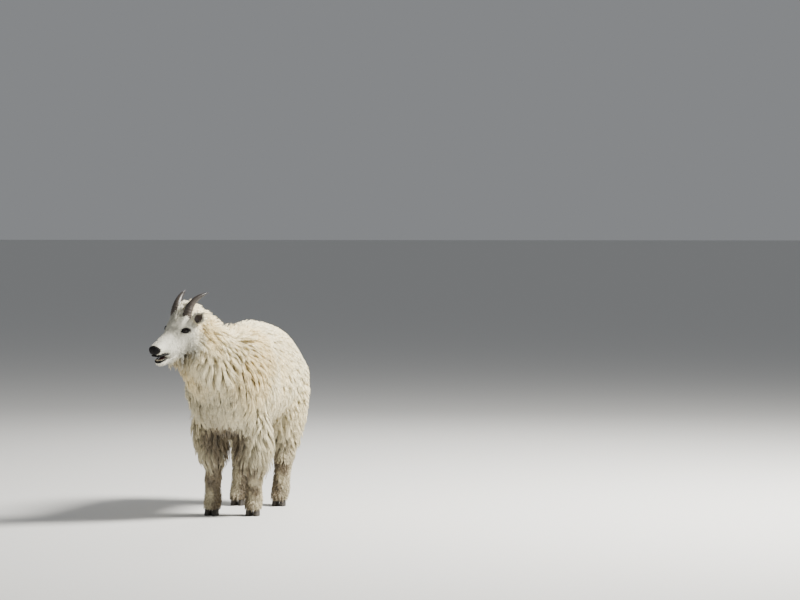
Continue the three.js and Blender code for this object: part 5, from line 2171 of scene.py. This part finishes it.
@dataclass
class Studio:
    """The camera, the soft lights and the plain floor."""

    body: Body
    lamps: tuple[Lamp, ...] = (
        Lamp("key", (4.25, 0.9, 4.9), 1550, 1.8, (1.0, 0.97, 0.91)),
        Lamp("fill", (-3.6, -5.2, 2.4), 12, 3.5, (0.97, 0.98, 1.0)),
        Lamp("rear", (-0.5, 4.8, 3.8), 90, 2.5, (1.0, 0.98, 0.95)),
    )
    half_floor: float = 400.0
    sight: float = 1000.0
    sky: Rgb = (226, 229, 233)
    sky_strength: float = 0.32

    def camera(self) -> None:
        """A camera at its own azimuth a and elevation e.

        It looks along -(sin a * cos e, -cos a * cos e, sin e).
        """
        data = bpy.data.cameras.new("camera")
        data.lens, data.sensor_width, data.sensor_fit = CAMERA_LENS, CAMERA_SENSOR, "HORIZONTAL"
        data.clip_end = self.sight
        camera = bpy.data.objects.new("camera", data)
        a, e = np.radians([CAMERA_AZIMUTH, CAMERA_ELEVATION])
        away = Vector((np.sin(a) * np.cos(e), -np.cos(a) * np.cos(e), np.sin(e)))
        camera.location = Vector(self.body.to_frame(np.array(CAMERA_PLACE) * MM))
        camera.rotation_euler = (-away).to_track_quat("-Z", "Y").to_euler()
        bpy.context.scene.collection.objects.link(camera)
        bpy.context.scene.camera = camera

    def floor(self, finish: Material) -> None:
        """A wide level floor, marked as stage.

        Args:
            finish: the material.
        """
        side = np.linspace(-self.half_floor, self.half_floor, 3)
        x, y = np.meshgrid(side, side)
        verts = np.stack([x, y, 0 * x], -1).reshape(-1, 3)
        quads = [[0, 1, 4, 3], [1, 2, 5, 4], [3, 4, 7, 6], [4, 5, 8, 7]]
        floor = mesh_object("floor", verts, quads, smooth=False)
        floor.data.materials.append(finish)
        floor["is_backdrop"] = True

    def build(self, finish: Material) -> None:
        """Makes the whole studio.

        Args:
            finish: the floor's material.
        """
        self.camera()
        for lamp in self.lamps:
            lamp.build()
        self.floor(finish)
        world = bpy.data.worlds.new("studio")
        world.use_nodes = True
        background = world.node_tree.nodes["Background"]
        background.inputs["Color"].default_value = (*linear(self.sky), 1.0)
        background.inputs["Strength"].default_value = self.sky_strength
        bpy.context.scene.world = world


def main() -> None:
    """Builds the goat's pieces in order and reports each."""
    logging.basicConfig(level=logging.INFO, format="%(name)s %(message)s")
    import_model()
    cad_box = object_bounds()
    eyes = np.array([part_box("eye_left"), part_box("eye_right")], float)
    between = eyes.mean(axis=(0, 1))
    body = Body(np.zeros(3))
    body.place = between - apply(body.head, np.array([0.0, 0.0, EYE_PLACE[2]]) * MM)
    body.place[2] = 0.0
    LOG.info("the goat's own frame starts at %s", np.round(body.place, 4))
    low, high = np.array(cad_box, float)
    low, high = low - HAIR_PROUD, high + HAIR_PROUD

    Studio(body).build(StudioFloor().material())
    LOG.info("studio: camera, lights and floor")

    coat = Coat(body, Palette(), CoatTufts().material(), low, high)
    skin = Skin(body)
    hide = skin.build()
    skin.dress(hide, coat, ShortFur().material())
    settle(hide, Slot.COAT, *skin.nodes)
    LOG.info("skin: %d triangles", triangle_count(hide))

    surfaces = (EyeGlobe, BlackSkin, HornSheath, EarSkin, TongueFlesh, ToothEnamel)
    head = Head(body, *(surface().material() for surface in surfaces))
    for name, side in (("left", 1), ("right", -1)):
        settle(head.eye(name, side), Slot.EYE, f"eye_{name}")
        settle(head.lids(name, side), Slot.NOSE_SKIN)
        settle(head.horn(name, side), Slot.HORN, f"horn_{name}")
    pale = Palette(cream=Palette.white, straw=Palette.white)
    for name, (root, pointing, opening) in EARS.items():
        ear = head.ear(name, root, pointing, opening)
        settle(ear, Slot.EAR, f"ear_{name}")
        settle(replace(coat, palette=pale).ear_fur(ear, pointing), Slot.COAT)
    settle(head.nose(), Slot.NOSE_SKIN, "nose_pad")
    for lip in head.lips():
        settle(lip, Slot.NOSE_SKIN)
    tongue, teeth = head.mouth()
    settle(tongue, Slot.TONGUE, "tongue")
    settle(teeth, Slot.TONGUE)
    LOG.info("head: eyes, lids, horns, ears, nose, lips, tongue and teeth")

    feet = Feet(body, HoofHorn().material())
    for leg in LEGS:
        side = 1 if leg.endswith("left") else -1
        foot = body.forms[leg].stations[-1]
        for word, outer in (("outer", 1), ("inner", -1)):
            digit = feet.hoof(f"digit_{leg}_{word}", side, foot, outer)
            settle(digit, Slot.HOOF, f"hoof_{leg}_{word}")
        settle(feet.dewclaws(leg), Slot.HOOF)
    LOG.info("feet: eight digits and eight small claws")

    total = 0
    for piece in coat.build(hide):
        settle(piece, Slot.COAT)
        total += len(piece.data.polygons)
    LOG.info("coat: %d triangles in all", total)


def settle(piece: Piece, slot: Slot, *nodes: str) -> None:
    """Rides a piece on the body and hides the solids that it stands for.

    Args:
        piece: the piece.
        slot: its slot; not used.
        nodes: the solids it stands for.
    """
    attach(piece, "root")
    if nodes:
        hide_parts(*nodes)


if __name__ == "__main__":
    main()
